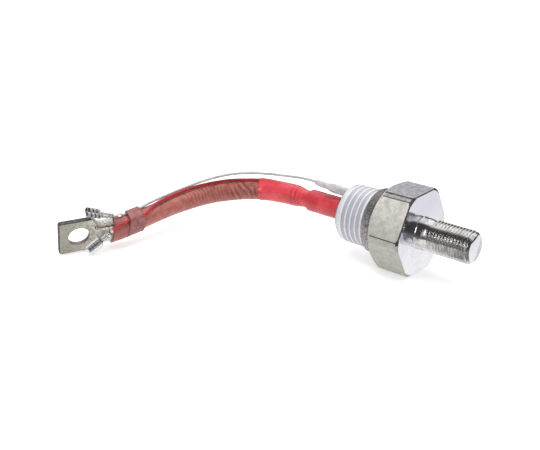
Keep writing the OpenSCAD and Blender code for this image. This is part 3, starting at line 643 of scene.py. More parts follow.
# Painted shade: nearly black tin for the plate's rim strip, the seam's groove and the end face, standing in
# for their dark reflections and the shade in the seam.
tin_painted_shade = plated_material("tinned_copper_painted_shade", (0.15, 0.14, 0.14), (0.05, 0.045, 0.04), patch=1.2,
                           smooth=0.4, rough=0.6, bump=0.3, metallic=0.4)
tin_hole = plated_material("tinned_copper_in_hole", (0.42, 0.33, 0.31), (0.13, 0.09, 0.085), patch=0.7,
                           smooth=0.4, rough=0.6, bump=0.3, metallic=0.3)
TIN_SHADE, TIN_HOLE = 1, 2
lug_stations = [-LUG_REACH, -LUG_REACH + 0.12] + [-LUG_REACH + 0.5 * k for k in range(1, 51)]
lug_stations = [x for x in lug_stations if x < LUG_END - LUG_CORNER]
lug_stations += [LUG_END - LUG_CORNER * (1 - sin(radians(a))) for a in range(0, 91, 6)]
lug_stations = sorted(set(lug_stations + [LUG_END - 0.35, LUG_END - 0.12]))
cable_lug = lofted("cable_lug_dressed", [lug_section(x) for x in lug_stations], tin, 40)
cable_lug.data.materials.append(tin_painted_shade)
cable_lug.data.materials.append(tin_hole)
half_t, hole_r = LUG_T / 2, LUG_HOLE_D / 2
hole_line = [(-3, 0), (-3, hole_r + 2), (-half_t - 0.02, hole_r + 0.22), (-half_t + 0.16, hole_r + 0.06),
             (-half_t + 0.4, hole_r)]
hole_line += [(-x, r) for x, r in reversed(hole_line)]
hole_tool = turned("hole_tool", hole_line, None, sides=96)
for vertex in hole_tool.data.vertices:
    vertex.co = Vector((vertex.co.y, vertex.co.z, vertex.co.x))
cut_with(cable_lug, tidied(hole_tool), "DIFFERENCE")
bore_tool = turned("bore_tool", [(-LUG_REACH - 1, 0), (-LUG_REACH - 1, LUG_BORE_R),
                                 (-LUG_BORE_STOP, LUG_BORE_R), (-LUG_BORE_STOP, 0)], None, sides=64)
cut_with(cable_lug, bore_tool, "DIFFERENCE")
soften(cable_lug, 40)
for polygon in cable_lug.data.polygons:
    x, y, z = polygon.center / MM
    on_rim = polygon.normal.y < -0.15 and y < -LUG_W / 2 + 0.4 and x > -LUG_PLATE_START
    in_seam = abs(degrees(atan2(y, z)) + LUG_SEAM_TURN) < 3 and x < -LUG_PLATE_START - 1
    in_hole = hypot(x, y) < hole_r + 0.05 and abs(polygon.normal.z) < 0.5
    if on_rim or in_seam or x > LUG_END - 0.4:
        polygon.material_index = TIN_SHADE
    elif in_hole:
        polygon.material_index = TIN_HOLE
moved(cable_lug, place_in(lug_hole_at, lug_ahead, lug_face))
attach(cable_lug, "root")
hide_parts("cable_lug")


# Lead sleeve. Silicone rubber tube, pushed over the rope by hand so that it gathers into crosswise
# folds, and spread over the barrel of the lug.
def smooth_route(points, step=0.5):
    """Points along a smooth line through the given ones, about one step apart."""
    ends = [points[0] * 2 - points[1]] + list(points) + [points[-1] * 2 - points[-2]]
    route = []
    for i in range(1, len(ends) - 2):
        p0, p1, p2, p3 = ends[i - 1:i + 3]
        t01, t12, t23 = ((q - p).length ** 0.5 for p, q in ((p0, p1), (p1, p2), (p2, p3)))
        m1 = (p2 - p1) + t12 * ((p1 - p0) / t01 - (p2 - p0) / (t01 + t12))
        m2 = (p2 - p1) + t12 * ((p3 - p2) / t23 - (p3 - p1) / (t12 + t23))
        count = max(2, ceil((p2 - p1).length / step))
        for k in range(count):
            t = k / count
            route.append(p1 * (2 * t ** 3 - 3 * t * t + 1) + m1 * (t ** 3 - 2 * t * t + t)
                         + p2 * (3 * t * t - 2 * t ** 3) + m2 * (t ** 3 - t * t))
    return route + [Vector(points[-1])]


def measured(route):
    """Distance from the start of a route at each of its points."""
    distances = [0.0]
    for a, b in zip(route, route[1:]):
        distances.append(distances[-1] + (b - a).length)
    return distances


def frames_along(route):
    """Direction, side and top of a route at each of its points."""
    frames = []
    for i in range(len(route)):
        ahead = (route[min(i + 1, len(route) - 1)] - route[max(i - 1, 0)]).normalized()
        side = ahead.cross(Vector((0, 0, 1))).normalized()
        frames.append((ahead, side, side.cross(ahead)))
    return frames


def hose(name, route, outer, inner, material, sides=48, angle=50, shade=None, slip=None):
    """Tube with a wall along a route; outer and inner give the radius at a distance and an angle, shade
    gives the painted shade on the outer skin there, the bore being fully shaded, and slip moves it along the
    route."""
    distances, frames, points, faces = measured(route), frames_along(route), [], []
    count = len(route)
    for radius in (outer, inner):
        for i in range(count):
            ahead, side, top = frames[i]
            for k in range(sides):
                turn = 2 * pi * k / sides
                r = radius(distances[i], turn)
                along = slip(distances[i], turn) if slip else 0.0
                points.append(route[i] + r * (cos(turn) * side + sin(turn) * top) + along * ahead)
    bore = count * sides
    for i in range(count - 1):
        a, b = i * sides, (i + 1) * sides
        for k in range(sides):
            m = (k + 1) % sides
            faces.append((a + k, a + m, b + m, b + k))
            faces.append((bore + a + m, bore + a + k, bore + b + k, bore + b + m))
    last = (count - 1) * sides
    for k in range(sides):
        m = (k + 1) % sides
        faces.append((k, bore + k, bore + m, m))
        faces.append((last + m, bore + last + m, bore + last + k, last + k))
    piece = shaped(name, points, faces, material, angle)
    if shade:
        outside = [shade(distance, 2 * pi * k / sides) for distance in distances for k in range(sides)]
        layer = piece.data.attributes.new("painted_shade_amount", "FLOAT", "POINT")
        # Painted shade: the bore is fully shaded.
        layer.data.foreach_set("value", outside + [1.0] * bore)
    return tidied(piece, gap=0.0005, angle=angle)


def folds(s, turn, pitch, slant, seed, centre=60.0, spread=48.0):
    """Depth from 0 to 1 of creases across a hose, each a lens with its own place round the hose."""
    depth = 0.0
    for side_turn in (0, 180):
        down = (degrees(turn) - 90 - side_turn + 180) % 360 - 180
        bend = 0.6 * noise.noise(Vector((down / 60, s * 0.14, seed)))
        phase = (s + slant * down) / pitch + bend
        k = floor(phase)
        middle = centre + 50 * noise.noise(Vector((k * 1.37 + seed, seed + side_turn, 0.5)))
        reach = spread * (1 + 0.8 * noise.noise(Vector((k * 2.11, seed + side_turn, 7.5))))
        valley = max(0.0, 1 - abs(2 * (phase - k) - 1) * 1.45)
        depth = max(depth, valley * valley * (3 - 2 * valley) * bell((down - middle) / reach))
    return depth


def skin_look():
    """Rubber or plastic: cloudy in colour, with a fine grain in roughness and height."""
    look, given, scale, out = new_look("soft_surface")
    cloud = add_node(look, "TexNoise", {"Vector": given["Vector"], "Scale": scale, "Detail": 4.0,
                                        "Roughness": 0.6}).outputs["Fac"]
    grain = add_node(look, "TexNoise", {"Vector": given["Vector"], "Scale": 2600.0, "Detail": 3.0,
                                        "Roughness": 0.7}).outputs["Fac"]
    tone = add_range(look, cloud, 0.35, 0.65)
    set_inputs(look, out, {
        "Color": add_mix(look, tone, given["Dark"], given["Light"], "RGBA"),
        "Roughness": add_range(look, grain, 0.3, 0.7, given["Smooth"], given["Rough"]),
        "Height": add_math(look, "ADD", add_product(look, cloud, 1.5), add_product(look, grain, 0.35))})
    return look


SKIN = skin_look()
GRAIN_CONTRAST = 0.08


def soft_skin(name, light, dark, patch, rough, bump, sheen=0.0, coat=0.0, painted_shade_color=None):
    """Rubber or plastic, with painted shade in its creases and other shaded places where the shade's colour
    is given.
    """
    material, tree, surface = new_material(name)
    skin = placed(tree, SKIN, light, dark, patch, rough - GRAIN_CONTRAST, rough + GRAIN_CONTRAST)[1]
    color = skin["Color"]
    if painted_shade_color:
        painted_shade_at = add_node(tree, "Attribute", attribute_name="painted_shade_amount").outputs["Fac"]
        color = add_mix(tree, painted_shade_at, color, painted_shade_color + (1,), "RGBA")
    set_inputs(tree, surface, {"Base Color": color, "Roughness": skin["Roughness"], "Sheen Weight": sheen,
                               "Coat Weight": coat, "Coat Roughness": 0.25,
                               "Normal": add_relief(tree, skin["Height"], bump)})
    return material


SLEEVE_R, SLEEVE_BORE_R, FLARE_R, FLARE_BORE_R, FLARE_LEN = 4.02, 3.05, 5.62, 4.75, 7.6
FOLDS_FROM, FOLDS_CHANGE, FOLDS_FADE, FOLDS_TO = 13.5, 30, 44, 58
COARSE_PITCH, FINE_PITCH, COARSE_DEPTH, FINE_DEPTH = 2.7, 1.75, 0.5, 0.3
END_TOP_TURN, END_SLANT = 65.2, 1.0
SLEEVE_ENDS = LEAD_POINTS[3], LEAD_POINTS[16]
# Painted shade: the folds, the end over the lug and the bore take the near-black red shade colour.
silicone = soft_skin("silicone_red_brown", (0.48, 0.14, 0.115), (0.35, 0.088, 0.07), 3.2, 0.34, 0.1,
                     sheen=0.1, coat=0.35, painted_shade_color=(0.12, 0.03, 0.022))
lead_route = smooth_route(LEAD_POINTS, 0.25)
sleeve_from, sleeve_to = (min(range(len(lead_route)), key=lambda i: (lead_route[i] - point).length)
                          for point in SLEEVE_ENDS)
sleeve_route = lead_route[sleeve_from:sleeve_to + 1]
sleeve_len = measured(sleeve_route)[-1]
flare_from = sleeve_len - FLARE_LEN


def sleeve_folds(s, turn):
    """Depth of the gathered folds: wide slanted ones near the shrink, narrow pleats further on."""
    to_fine = eased(s, FOLDS_CHANGE - 3, FOLDS_CHANGE + 3)
    coarse = eased(s, FOLDS_FROM, FOLDS_FROM + 1.5) * (1 - to_fine)
    fine = to_fine * (1 - eased(s, FOLDS_FADE, FOLDS_TO))
    depth = 0.0
    if coarse:
        depth += COARSE_DEPTH * coarse * folds(s, turn, COARSE_PITCH, 0.034, 3.0, centre=85.0, spread=58.0)
    if fine:
        depth += FINE_DEPTH * fine * folds(s, turn, FINE_PITCH, 0.012, 11.0, centre=60.0)
    return depth


def flared(s, plain_r, flare_r):
    """Radius that grows evenly over the end that is spread on the lug."""
    share = min(max((s - flare_from) / (sleeve_len - flare_from), 0.0), 1.0)
    return plain_r + (flare_r - plain_r) * share


def sleeve_outer(s, turn):
    """Outer radius: wider on top where the sleeve is gathered, with folds, dents and a rounded end."""
    gathered = eased(s, FOLDS_FROM, FOLDS_FROM + 3) * (1 - eased(s, FOLDS_FADE, FOLDS_TO))
    up = (degrees(turn) - 90 + 180) % 360 - 180
    r = flared(s, SLEEVE_R, FLARE_R) + gathered * (0.1 + 0.2 * bell(up / 40))
    dent = noise.noise(Vector((1.1 * cos(turn), 1.1 * sin(turn), s * 0.12 + 9)))
    return r - sleeve_folds(s, turn) - 0.07 * dent - 0.15 * eased(s, sleeve_len - 0.4, sleeve_len)


def sleeve_inner(s, turn):
    """Inner radius."""
    return flared(s, SLEEVE_BORE_R, FLARE_BORE_R)


def sleeve_shade(s, turn):
    """How dark the skin is: painted shade in the folds and a painted shadow a little over the lug, and darker
    at the cut end.
    """
    in_fold = min(1.0, 1.6 * sleeve_folds(s, turn))
    over_lug = 0.22 * eased(s, flare_from - 1, sleeve_len - 3)
    return in_fold + over_lug + 0.6 * eased(s, sleeve_len - 0.5, sleeve_len - 0.2)


def sleeve_slip(s, turn):
    """Slant of the cut end."""
    return -END_SLANT * cos(turn - radians(END_TOP_TURN)) * eased(s, sleeve_len - 7, sleeve_len)


lead_sleeve = hose("lead_sleeve_dressed", sleeve_route, sleeve_outer, sleeve_inner, silicone, sides=64,
                   shade=sleeve_shade, slip=sleeve_slip)
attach(lead_sleeve, "root")
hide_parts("lead_sleeve")


# Housing shrink. A red heat-shrink sleeve over the cathode tube and the start of the lead; it has
# drawn in round the crimp, where it shows a waist and a step.
SHRINK_START, SHRINK_R, SHRINK_BORE_R, WAIST_DEPTH = 34.2, 4.62, 4.1, 0.92
# Painted shade: the creases and the bore take the dark red shade colour.
red_shrink = soft_skin("heat_shrink_red", (0.85, 0.075, 0.095), (0.64, 0.038, 0.052), 6.5, 0.3, 0.08,
                       coat=0.4, painted_shade_color=(0.36, 0.012, 0.02))
shrink_route = smooth_route([Vector(p) for p in (
    (-SHRINK_START, 0, 0), (-46, 0, 0), (-56, 0, 0), (-64, 0, 0), (-70, -0.6, -0.2), (-77, -2.2, -0.7),
    (-79.2, -3.15, -0.93))], 0.25)


def shrink_folds(s, turn):
    """Depth of the creases behind the crimp, at a distance along the shrink."""
    x = s + SHRINK_START
    painted_shade_at = 0.85 * eased(x, 55.2, 57) * (1 - eased(x, 60.5, 64))
    return painted_shade_at * folds(s, turn, 2.1, 0.01, 33.0, centre=75.0, spread=52.0)


def shrink_outer(s, turn):
    """Outer radius: a waist at the crimp, a slight taper, and a ridge over the red wire at the end."""
    x = s + SHRINK_START
    r = SHRINK_R
    r -= WAIST_DEPTH * (eased(x, 53.2, 54.0) * (1 - eased(x, 55.6, 62.5)))
    r -= 0.18 * eased(x, 66, 76)
    r += 1.35 * bell((turn - pi / 2 - 0.02) / 0.3) * eased(x, 63, 79.5) ** 1.5
    lump = noise.noise(Vector((s * 0.22, cos(turn) * 1.1, sin(turn) * 1.1)))
    return r + 0.1 * lump - 0.14 * shrink_folds(s, turn)


def shrink_inner(s, turn):
    """Inner radius, close round the tube and the crimp."""
    x = s + SHRINK_START
    return SHRINK_BORE_R - 0.75 * eased(x, 53.6, 54.2) * (1 - eased(x, 56.4, 61.5)) - 0.02 * eased(x, 66, 80)


def shrink_shade(s, turn):
    """How dark the skin is: painted shade in the creases, and a little darker near the ceramic."""
    return min(1.0, shrink_folds(s, turn) + 0.16 * (1 - eased(s, 16, 26)))


housing_shrink = hose("housing_shrink_dressed", shrink_route, shrink_outer, shrink_inner, red_shrink,
                      sides=72, shade=shrink_shade)
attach(housing_shrink, "root")
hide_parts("housing_shrink")


# Push-on terminals. Each is folded from one strip of tinned brass: a socket with both sides rolled in
# over a floor whose ridges are painted as dark slots of painted shade, a narrow neck, a crimp on the strands
# and a crimp on the insulation.
GATE_D, CATHODE_D, LEAD_R_IN_BAND, WIRE_GAP = 1.1, 1.3, 4.056, 0.05
GATE_TURN, CATHODE_TURN = 100, 42
GATE_OUT, CATHODE_OUT = LEAD_R_IN_BAND + WIRE_GAP + GATE_D / 2, LEAD_R_IN_BAND + WIRE_GAP + CATHODE_D / 2
BAND_SIDE = Vector((0, 0, 1)).cross(BAND_AHEAD).normalized()
BAND_TOP = BAND_AHEAD.cross(BAND_SIDE)


def beside_band(place, out, turn):
    """Point at a distance and an angle from the middle of the lead, where the band holds the wires."""
    return place + out * (cos(radians(turn)) * BAND_SIDE + sin(radians(turn)) * BAND_TOP)


GATE_POINTS = [Vector(p) for p in (
    (-49.6, 0, 8.5), (-53, 0, 8.75), (-60, 0, 8.5), (-68, -0.4, 7.7), (-76, -2, 7.15), (-84, -5.4, 6.6),
    (-91, -9.8, 5.6), (-96.6, -15.4, 4), (-100.6, -21.8, 2.3), (-103.8, -29, 0.5), (-105.2, -37, -0.8),
    (-105.4, -45, -1.6),
    beside_band(BAND_FROM, GATE_OUT, GATE_TURN), beside_band(BAND_TO, GATE_OUT, GATE_TURN),
    (-105.5, -60.2, -1.95), (-105.3, -62.2, -1.85), (-105.45, -64.07, -1.76), (-105.8, -65.95, -1.02))]
CATHODE_POINTS = [Vector(p) for p in (
    (-79.7, -3.3, 3.9), (-84, -5.2, 3.5), (-91.4, -9.6, 2.7), (-96.6, -15, 1.8), (-100.2, -21.6, 1),
    (-102.2, -29, 0.2), (-102.7, -37, -0.75), (-102, -45, -1.6),
    beside_band(BAND_FROM, CATHODE_OUT, CATHODE_TURN), beside_band(BAND_TO, CATHODE_OUT, CATHODE_TURN),
    (-101.42, -62.04, -4.75), (-101.7, -64.5, -5.25), (-101.6, -66.2, -5.7), (-101.31, -68.23, -6.42),
    (-102.43, -69.56, -7.76))]

SHEET_T, SOCKET_LEN, STRIP_LEN, STRAND_LEN, JACKET_LEN = 0.35, 6, 0.9, 2.8, 2
TERMINAL_W, CURL_R, STATION_STEP = 4.3, 1.1, 0.14
SOCKET_SWEEP, NECK_SWEEP, STRAND_SWEEP, JACKET_SWEEP = 279, 50, 250, 174
brass = plated_material("tinned_brass_bright", (0.85, 0.84, 0.82), (0.42, 0.41, 0.4), patch=0.8,
                        smooth=0.16, rough=0.34, bump=0.2, metallic=0.7)
# Painted shade: nearly black brass for the inside of the curls, the socket's mouth, the end of the insulation
# crimp and the slots.
brass_painted_shade = plated_material("tinned_brass_shaded", (0.14, 0.14, 0.15), (0.04, 0.04, 0.045), patch=1.0,
                             smooth=0.4, rough=0.6, metallic=0.3)
# Painted shade: grey brass for the middle of one terminal's back and the outer sides of the other's curls.
brass_painted_grey_shade = plated_material("tinned_brass_painted_grey_shade", (0.5, 0.51, 0.54), (0.26, 0.26, 0.28), patch=0.5,
                             metallic=0.4)
# Painted highlight: nearly white brass along the edges of the terminal's back.
brass_painted_highlight = plated_material("tinned_brass_painted_highlight", (1.0, 1.0, 1.0), (0.85, 0.85, 0.86), patch=1.0,
                             smooth=0.2, rough=0.35, bump=0.05, metallic=0.15)
strands_tinned = plated_material("strands_tinned", (0.78, 0.76, 0.7), (0.4, 0.38, 0.33), patch=0.6,
                                 metallic=0.5)
STRANDS, BRASS_SHADE, BRASS_GREY_SHADE, BRASS_HIGHLIGHT = 1, 2, 3, 4


def strip_shape(flat_half, curl, sweep, height, steps=16):
    """Middle line across a strip, flat in the middle and curled in at both sides."""
    half = [(flat_half * k / 4, height) for k in range(5)]
    for k in range(1, steps + 1):
        turn = radians(sweep) * k / steps
        half.append((flat_half + curl * sin(turn), height + curl * (1 - cos(turn))))
    return [(-y, z) for y, z in reversed(half[1:])] + half


def strip_skin(x, middle, thickness=SHEET_T):
    """Closed section round a strip's middle line."""
    upper, lower = [], []
    for k, (y, z) in enumerate(middle):
        before, after = middle[max(k - 1, 0)], middle[min(k + 1, len(middle) - 1)]
        dy, dz = after[0] - before[0], after[1] - before[1]
        size = hypot(dy, dz) or 1
        upper.append((x, y - dz / size * thickness / 2, z + dy / size * thickness / 2))
        lower.append((x, y + dz / size * thickness / 2, z - dy / size * thickness / 2))
    return lower + upper[::-1]


def between(a, b, share):
    """Line between two lines with the same number of points."""
    return [(p[0] + (q[0] - p[0]) * share, p[1] + (q[1] - p[1]) * share) for p, q in zip(a, b)]


def terminal(name, points, wire_d, face, slot_node, slot_pitch, shaded_middle):
    """Terminal at the end of a wire's points; face is the direction in which its open side looks. With
    shaded_middle it shows a middle of painted grey shade between painted highlights, and without it slanted
    slots."""
    wire_r = wire_d / 2 + WIRE_GAP + SHEET_T / 2
    lift, curl = SHEET_T / 2, CURL_R - SHEET_T / 2
    socket = strip_shape(TERMINAL_W / 2 - CURL_R, curl, SOCKET_SWEEP, lift)
    neck = strip_shape(0.6, 0.6, NECK_SWEEP, lift)
    strands = strip_shape(0.62, 0.5, STRAND_SWEEP, lift)
    jacket = strip_shape(0.0, wire_r, JACKET_SWEEP, lift)
    strand_from = SOCKET_LEN + STRIP_LEN
    jacket_from = strand_from + STRAND_LEN
    stops = [(0, socket), (SOCKET_LEN - 0.1, socket), (SOCKET_LEN + 0.15, neck), (strand_from - 0.12, neck),
             (strand_from + 0.12, strands), (jacket_from - 0.3, strands), (jacket_from - 0.1, neck),
             (jacket_from + 0.12, jacket), (jacket_from + JACKET_LEN, jacket)]
    sections = []
    for x in sorted(set([0.0] + [STATION_STEP * k for k in range(1, 85)] + [x for x, _ in stops])):
        if x > jacket_from + JACKET_LEN:
            continue
        for (x0, a), (x1, b) in zip(stops, stops[1:]):
            if x0 <= x <= x1:
                shape = between(a, b, eased(x, x0, x1))
                break
        sections.append(strip_skin(x, shape))
    piece = lofted(name, sections, brass, 45)
    slot_slant, slot_share, slot_reach = (0, 0.24, 1.2) if shaded_middle else (0.3, 0.4, 3)
    # Painted shade and painted highlights: dark brass in the curls, mouth, crimp end and slots, grey brass
    # and white brass on the outside.
    for polygon in piece.data.polygons:
        x, y, z = polygon.center / MM
        curl_middle_y = (TERMINAL_W / 2 - CURL_R) * (1 if y > 0 else -1)
        to_curl = Vector((0, curl_middle_y - y, lift + curl - z))
        in_curl = x < SOCKET_LEN and z > 0.45 and polygon.normal.dot(to_curl) > 0
        slot_x = x + slot_slant * y - 0.7
        in_slot = (0 < slot_x and x < SOCKET_LEN - 0.7 and slot_x % slot_pitch < slot_pitch * slot_share
                   and abs(y) < slot_reach)
        on_floor = abs(y) < 0.95 and z < 0.6 and polygon.normal.z > 0.5
        over_curl = z > 0.8 and not in_curl
        outside = z > 0.9 and x < SOCKET_LEN and not in_curl
        in_mouth = outside and not shaded_middle and y > 0.2 and x < 1.2
        in_jacket = x > jacket_from + JACKET_LEN - 0.5 and z > 0.4 and abs(y) < wire_r
        if in_curl or in_jacket or in_mouth or in_slot and (on_floor or over_curl):
            polygon.material_index = BRASS_SHADE
        elif outside and (abs(y) < 1.1 if shaded_middle else abs(y) > 1.8):
            polygon.material_index = BRASS_GREY_SHADE
        elif outside and shaded_middle and abs(y) < 2.0:
            polygon.material_index = BRASS_HIGHLIGHT
    core_line = [(strand_from - 0.35, 0), (strand_from - 0.35, 0.42), (jacket_from + 0.3, 0.42),
                 (jacket_from + 0.3, 0)]
    core = turned(name + "_core", core_line, strands_tinned, sides=16)
    for vertex in core.data.vertices:
        vertex.co.z += 0.66 * MM
    faces_before = len(piece.data.polygons)
    piece = joined([piece, core], name)
    for material in (strands_tinned, brass_painted_shade, brass_painted_grey_shade, brass_painted_highlight):
        piece.data.materials.append(material)
    for polygon in piece.data.polygons[faces_before:]:
        polygon.material_index = STRANDS
    tidied(piece, angle=45)
    start = Matrix.Translation((-jacket_from, 0, -(wire_d / 2 + WIRE_GAP + SHEET_T)))
    moved(piece, place_in(points[-1], points[-2] - points[-1], Vector(face)) @ start)
    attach(piece, "root")
    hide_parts(slot_node)
    return piece


gate_terminal = terminal("gate_terminal_dressed", GATE_POINTS, GATE_D, (0.71, 0.14, 0.68), "gate_terminal",
                         slot_pitch=1.7, shaded_middle=False)
cathode_terminal = terminal("cathode_terminal_dressed", CATHODE_POINTS, CATHODE_D, (0.58, -0.78, 0.22),
                            "cathode_terminal", slot_pitch=1.3, shaded_middle=True)


# Gate wire and cathode wire. Thin stranded wires in white and red insulation; the white one bows up
# from the gate tube, the red one comes out of the heat-shrink, and both run along the sleeve.
WHITE_HIGHLIGHT_LEN, RED_HIGHLIGHT_LEN = 6.0, 1.0
white_skin = soft_skin("insulation_white", (0.55, 0.57, 0.56), (0.44, 0.46, 0.45), 3.0, 0.4, 0.06, coat=0.2)
red_skin = soft_skin("insulation_red", (0.5, 0.018, 0.028), (0.36, 0.012, 0.018), 3.0, 0.36, 0.06, coat=0.2)
# Painted highlight: a paler copy of the white insulation over the gate wire's last length.
white_painted_highlight = soft_skin("insulation_white_painted_highlight", (0.9, 0.89, 0.92), (0.8, 0.79, 0.83), 3.0, 0.35, 0.04,
                      coat=0.3)
# Painted highlight: a pale pink copy of the red insulation over the cathode wire's last length.
red_painted_highlight = soft_skin("insulation_red_painted_highlight", (0.9, 0.66, 0.66), (0.72, 0.4, 0.42), 1.2, 0.5, 0.1)


def wire(name, points, diameter, skin, highlight_skin, highlight_len, node):
    """Insulated wire along its points, with a painted highlight, a paler skin, over the last length before
    its terminal.
    """
    route = smooth_route(points, 0.35)
    piece = hose(name, route, lambda s, turn: diameter / 2, lambda s, turn: 0.0, skin, sides=20, angle=60)
    piece.data.materials.append(highlight_skin)
    for polygon in piece.data.polygons:
        if (polygon.center / MM - points[-1]).length < JACKET_LEN + highlight_len:
            polygon.material_index = 1
    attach(piece, "root")
    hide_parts(node)


wire("gate_wire_dressed", GATE_POINTS, GATE_D, white_skin, white_painted_highlight, WHITE_HIGHLIGHT_LEN, "gate_wire")
wire("cathode_wire_dressed", CATHODE_POINTS, CATHODE_D, red_skin, red_painted_highlight, RED_HIGHLIGHT_LEN, "cathode_wire")


# Binding band. A short piece of the same kind of sleeve, stretched over the lead and both thin wires;
# its two rims stand a little proud and its skin is drawn tight over the wires.
BAND_T, BAND_GAP, RIM_RISE, RIM_FALL, RAW_STEPS = 0.6, 0.12, 0.14, 0.2, 720
BAND_TOP_TURN, LUG_RIM_SHIFT, LUG_RIM_SLANT, BACK_RIM_SLANT = 122.6, 0.4, 1.7, 0.65
band_skin = soft_skin("silicone_band", (0.38, 0.14, 0.13), (0.25, 0.085, 0.085), 1.8, 0.5, 0.3, sheen=0.15)


def bound_outline(wall, sides=96):
    """Points round the sleeve and the two wires, at an even step along the outline."""
    rounds = [(0.0, 0.0, LEAD_R_IN_BAND)]
    for out, turn, d in ((GATE_OUT, GATE_TURN, GATE_D), (CATHODE_OUT, CATHODE_TURN, CATHODE_D)):
        rounds.append((out * cos(radians(turn)), out * sin(radians(turn)), d / 2))
    raw = []
    for k in range(RAW_STEPS):
        u, v = cos(2 * pi * k / RAW_STEPS), sin(2 * pi * k / RAW_STEPS)
        a, b, r = max(rounds, key=lambda c: c[0] * u + c[1] * v + c[2])
        raw.append((a + (r + BAND_GAP + wall) * u, b + (r + BAND_GAP + wall) * v))
    ahead = raw[1:] + raw[:1]
    steps = [hypot(q[0] - p[0], q[1] - p[1]) for p, q in zip(raw, ahead)]
    total, spent, k, points = sum(steps), 0.0, 0, []
    for i in range(sides):
        goal = total * i / sides
        while spent + steps[k] < goal:
            spent += steps[k]
            k += 1
        share = (goal - spent) / steps[k]
        a, b = raw[k], ahead[k]
        points.append((a[0] + (b[0] - a[0]) * share, a[1] + (b[1] - a[1]) * share))
    return points


def band_place(s, a, b, grow=1.0):
    """Point of the band; both rims are cut at a slant."""
    across = cos(atan2(b, a) - radians(BAND_TOP_TURN))
    share = s / BAND_LEN
    along = s + share * (LUG_RIM_SHIFT - LUG_RIM_SLANT * across) + (1 - share) * BACK_RIM_SLANT * (1 - across)
    return tuple(BAND_FROM + (BAND_INSET + along) * BAND_AHEAD + a * grow * BAND_SIDE + b * grow * BAND_TOP)


outer_line, inner_line = bound_outline(BAND_T), bound_outline(0.0)
band_sections = []
for s in [0, 0.12, 0.3] + [0.3 + 0.3 * k for k in range(1, 22)] + [BAND_LEN - 0.12, BAND_LEN]:
    rim = RIM_RISE * (1 - eased(s, 0.1, 0.7)) + RIM_RISE * eased(s, BAND_LEN - 0.7, BAND_LEN - 0.1)
    rim -= RIM_FALL * (1 - eased(s, 0, 0.15)) + RIM_FALL * eased(s, BAND_LEN - 0.15, BAND_LEN)
    section = []
    for a, b in outer_line:
        lump = 0.08 * noise.noise(Vector((s * 0.8, a * 0.5, b * 0.5)))
        section.append(band_place(s, a, b, 1 + (rim + lump - 0.06) / hypot(a, b)))
    band_sections.append(section)
for s in (BAND_LEN, BAND_LEN / 2, 0):
    band_sections.append([band_place(s, a, b) for a, b in inner_line])
band_sections.append(band_sections[0])
binding_band = tidied(lofted("binding_band_dressed", band_sections, band_skin, 50, capped=False), angle=50)
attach(binding_band, "root")
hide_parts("binding_band")


# Gate shrink. A clear sleeve shrunk over the gate tube and the start of the white wire, cloudy after
# heating, with a step where the tube ends.
GATE_TUBE_D, GATE_SHRINK_R, GATE_STEP = 2.2, 1.9, 0.55
cloudy, tree, surface = new_material("clear_sleeve_cloudy")
place = add_node(tree, "TexCoord").outputs["Object"]
cloud = add_node(tree, "TexNoise", {"Vector": place, "Scale": 520.0, "Detail": 3.0}).outputs["Fac"]
tint = add_mix(tree, add_range(tree, cloud, 0.4, 0.6), (0.72, 0.71, 0.73, 1), (0.92, 0.91, 0.94, 1), "RGBA")
set_inputs(tree, surface, {"Base Color": tint, "Roughness": 0.28, "Transmission Weight": 0.35, "IOR": 1.45,
                           "Coat Weight": 0.4, "Coat Roughness": 0.15})
gate_shrink_route = smooth_route([Vector(p) for p in (
    (-33.75, 0, 7.8), (-38.5, 0, 7.85), (-43.1, 0, 8.05), (-47.2, 0, 8.33), (-50.85, 0, 8.6))], 0.25)
gate_shrink_len = measured(gate_shrink_route)[-1]


def gate_shrink_outer(s, turn):
    """Outer radius, with a step down from tube to wire and a rounded end."""
    r = GATE_SHRINK_R - GATE_STEP * eased(s, 8.6, 11.6)
    lump = noise.noise(Vector((s * 0.6, cos(turn), sin(turn))))
    return r + 0.09 * lump - 0.1 * eased(s, gate_shrink_len - 0.4, gate_shrink_len)


def gate_shrink_inner(s, turn):
    """Inner radius, close round the tube and then the wire."""
    return GATE_TUBE_D / 2 + 0.1 - GATE_STEP * eased(s, 9.2, 11.4)


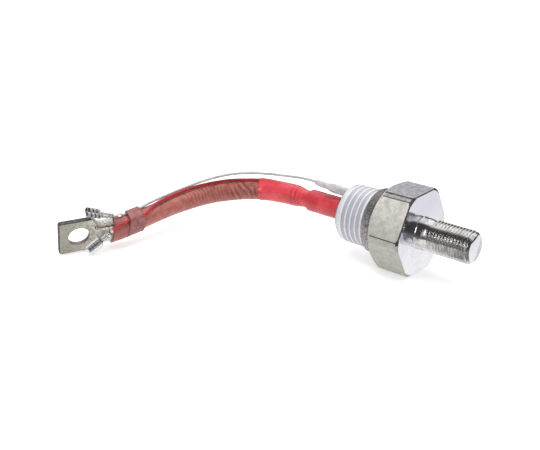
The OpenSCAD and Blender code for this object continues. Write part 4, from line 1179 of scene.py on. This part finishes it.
gate_shrink = hose("gate_shrink_dressed", gate_shrink_route, gate_shrink_outer, gate_shrink_inner, cloudy,
                   sides=32)
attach(gate_shrink, "root")
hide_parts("gate_shrink")


# Cap, tubes, rope and the stack inside. These keep their solids: the cap and both tubes are behind
# the red heat-shrink, and the pressure-contact stack is closed in the ceramic.
cap_alloy = plated_material("cap_alloy_dull", (0.6, 0.58, 0.55), (0.36, 0.35, 0.33), patch=2.5)
molybdenum = plated_material("molybdenum_ground", (0.5, 0.5, 0.52), (0.36, 0.36, 0.38), patch=1.5,
                             smooth=0.35, rough=0.45)
silicon = plated_material("silicon_etched", (0.2, 0.21, 0.25), (0.1, 0.1, 0.13), patch=4.0, smooth=0.12,
                          rough=0.2, bump=0.02)
spring_steel = plated_material("spring_steel_blued", (0.32, 0.33, 0.36), (0.14, 0.15, 0.18), patch=2.0,
                               smooth=0.25, rough=0.4)
clamp_steel = plated_material("clamp_steel_drawn", (0.55, 0.54, 0.5), (0.36, 0.35, 0.33), patch=2.0)
rope_copper = plated_material("copper_rope_drawn", (0.72, 0.4, 0.25), (0.45, 0.2, 0.11), patch=0.8, bump=0.5)
ptfe = soft_skin("white_ptfe", (0.85, 0.85, 0.83), (0.78, 0.78, 0.76), 2.0, 0.5, 0.05)
mica = soft_skin("mica_sheet", (0.62, 0.52, 0.38), (0.5, 0.4, 0.28), 1.5, 0.35, 0.1, coat=0.4)
for material, names in (
        (cap_alloy, ["top_cap", "gate_tube"]),
        (rope_copper, ["cathode_tube", "lead_rope", "cathode_contact", "gate_pin", "gate_lead"]),
        (molybdenum, ["anode_disc", "cathode_disc"]),
        (silicon, ["silicon_wafer"]),
        (ptfe, ["centring_ring", "gate_bush", "gate_lead_sleeve"]),
        (mica, ["mica_ring"]),
        (clamp_steel, ["thrust_washer", "retaining_ring", "clamp_cup"]),
        (spring_steel, ["disc_spring_lower", "disc_spring_middle", "disc_spring_upper"])):
    for name in names:
        for slot in nodes[name].material_slots:
            slot.material = material
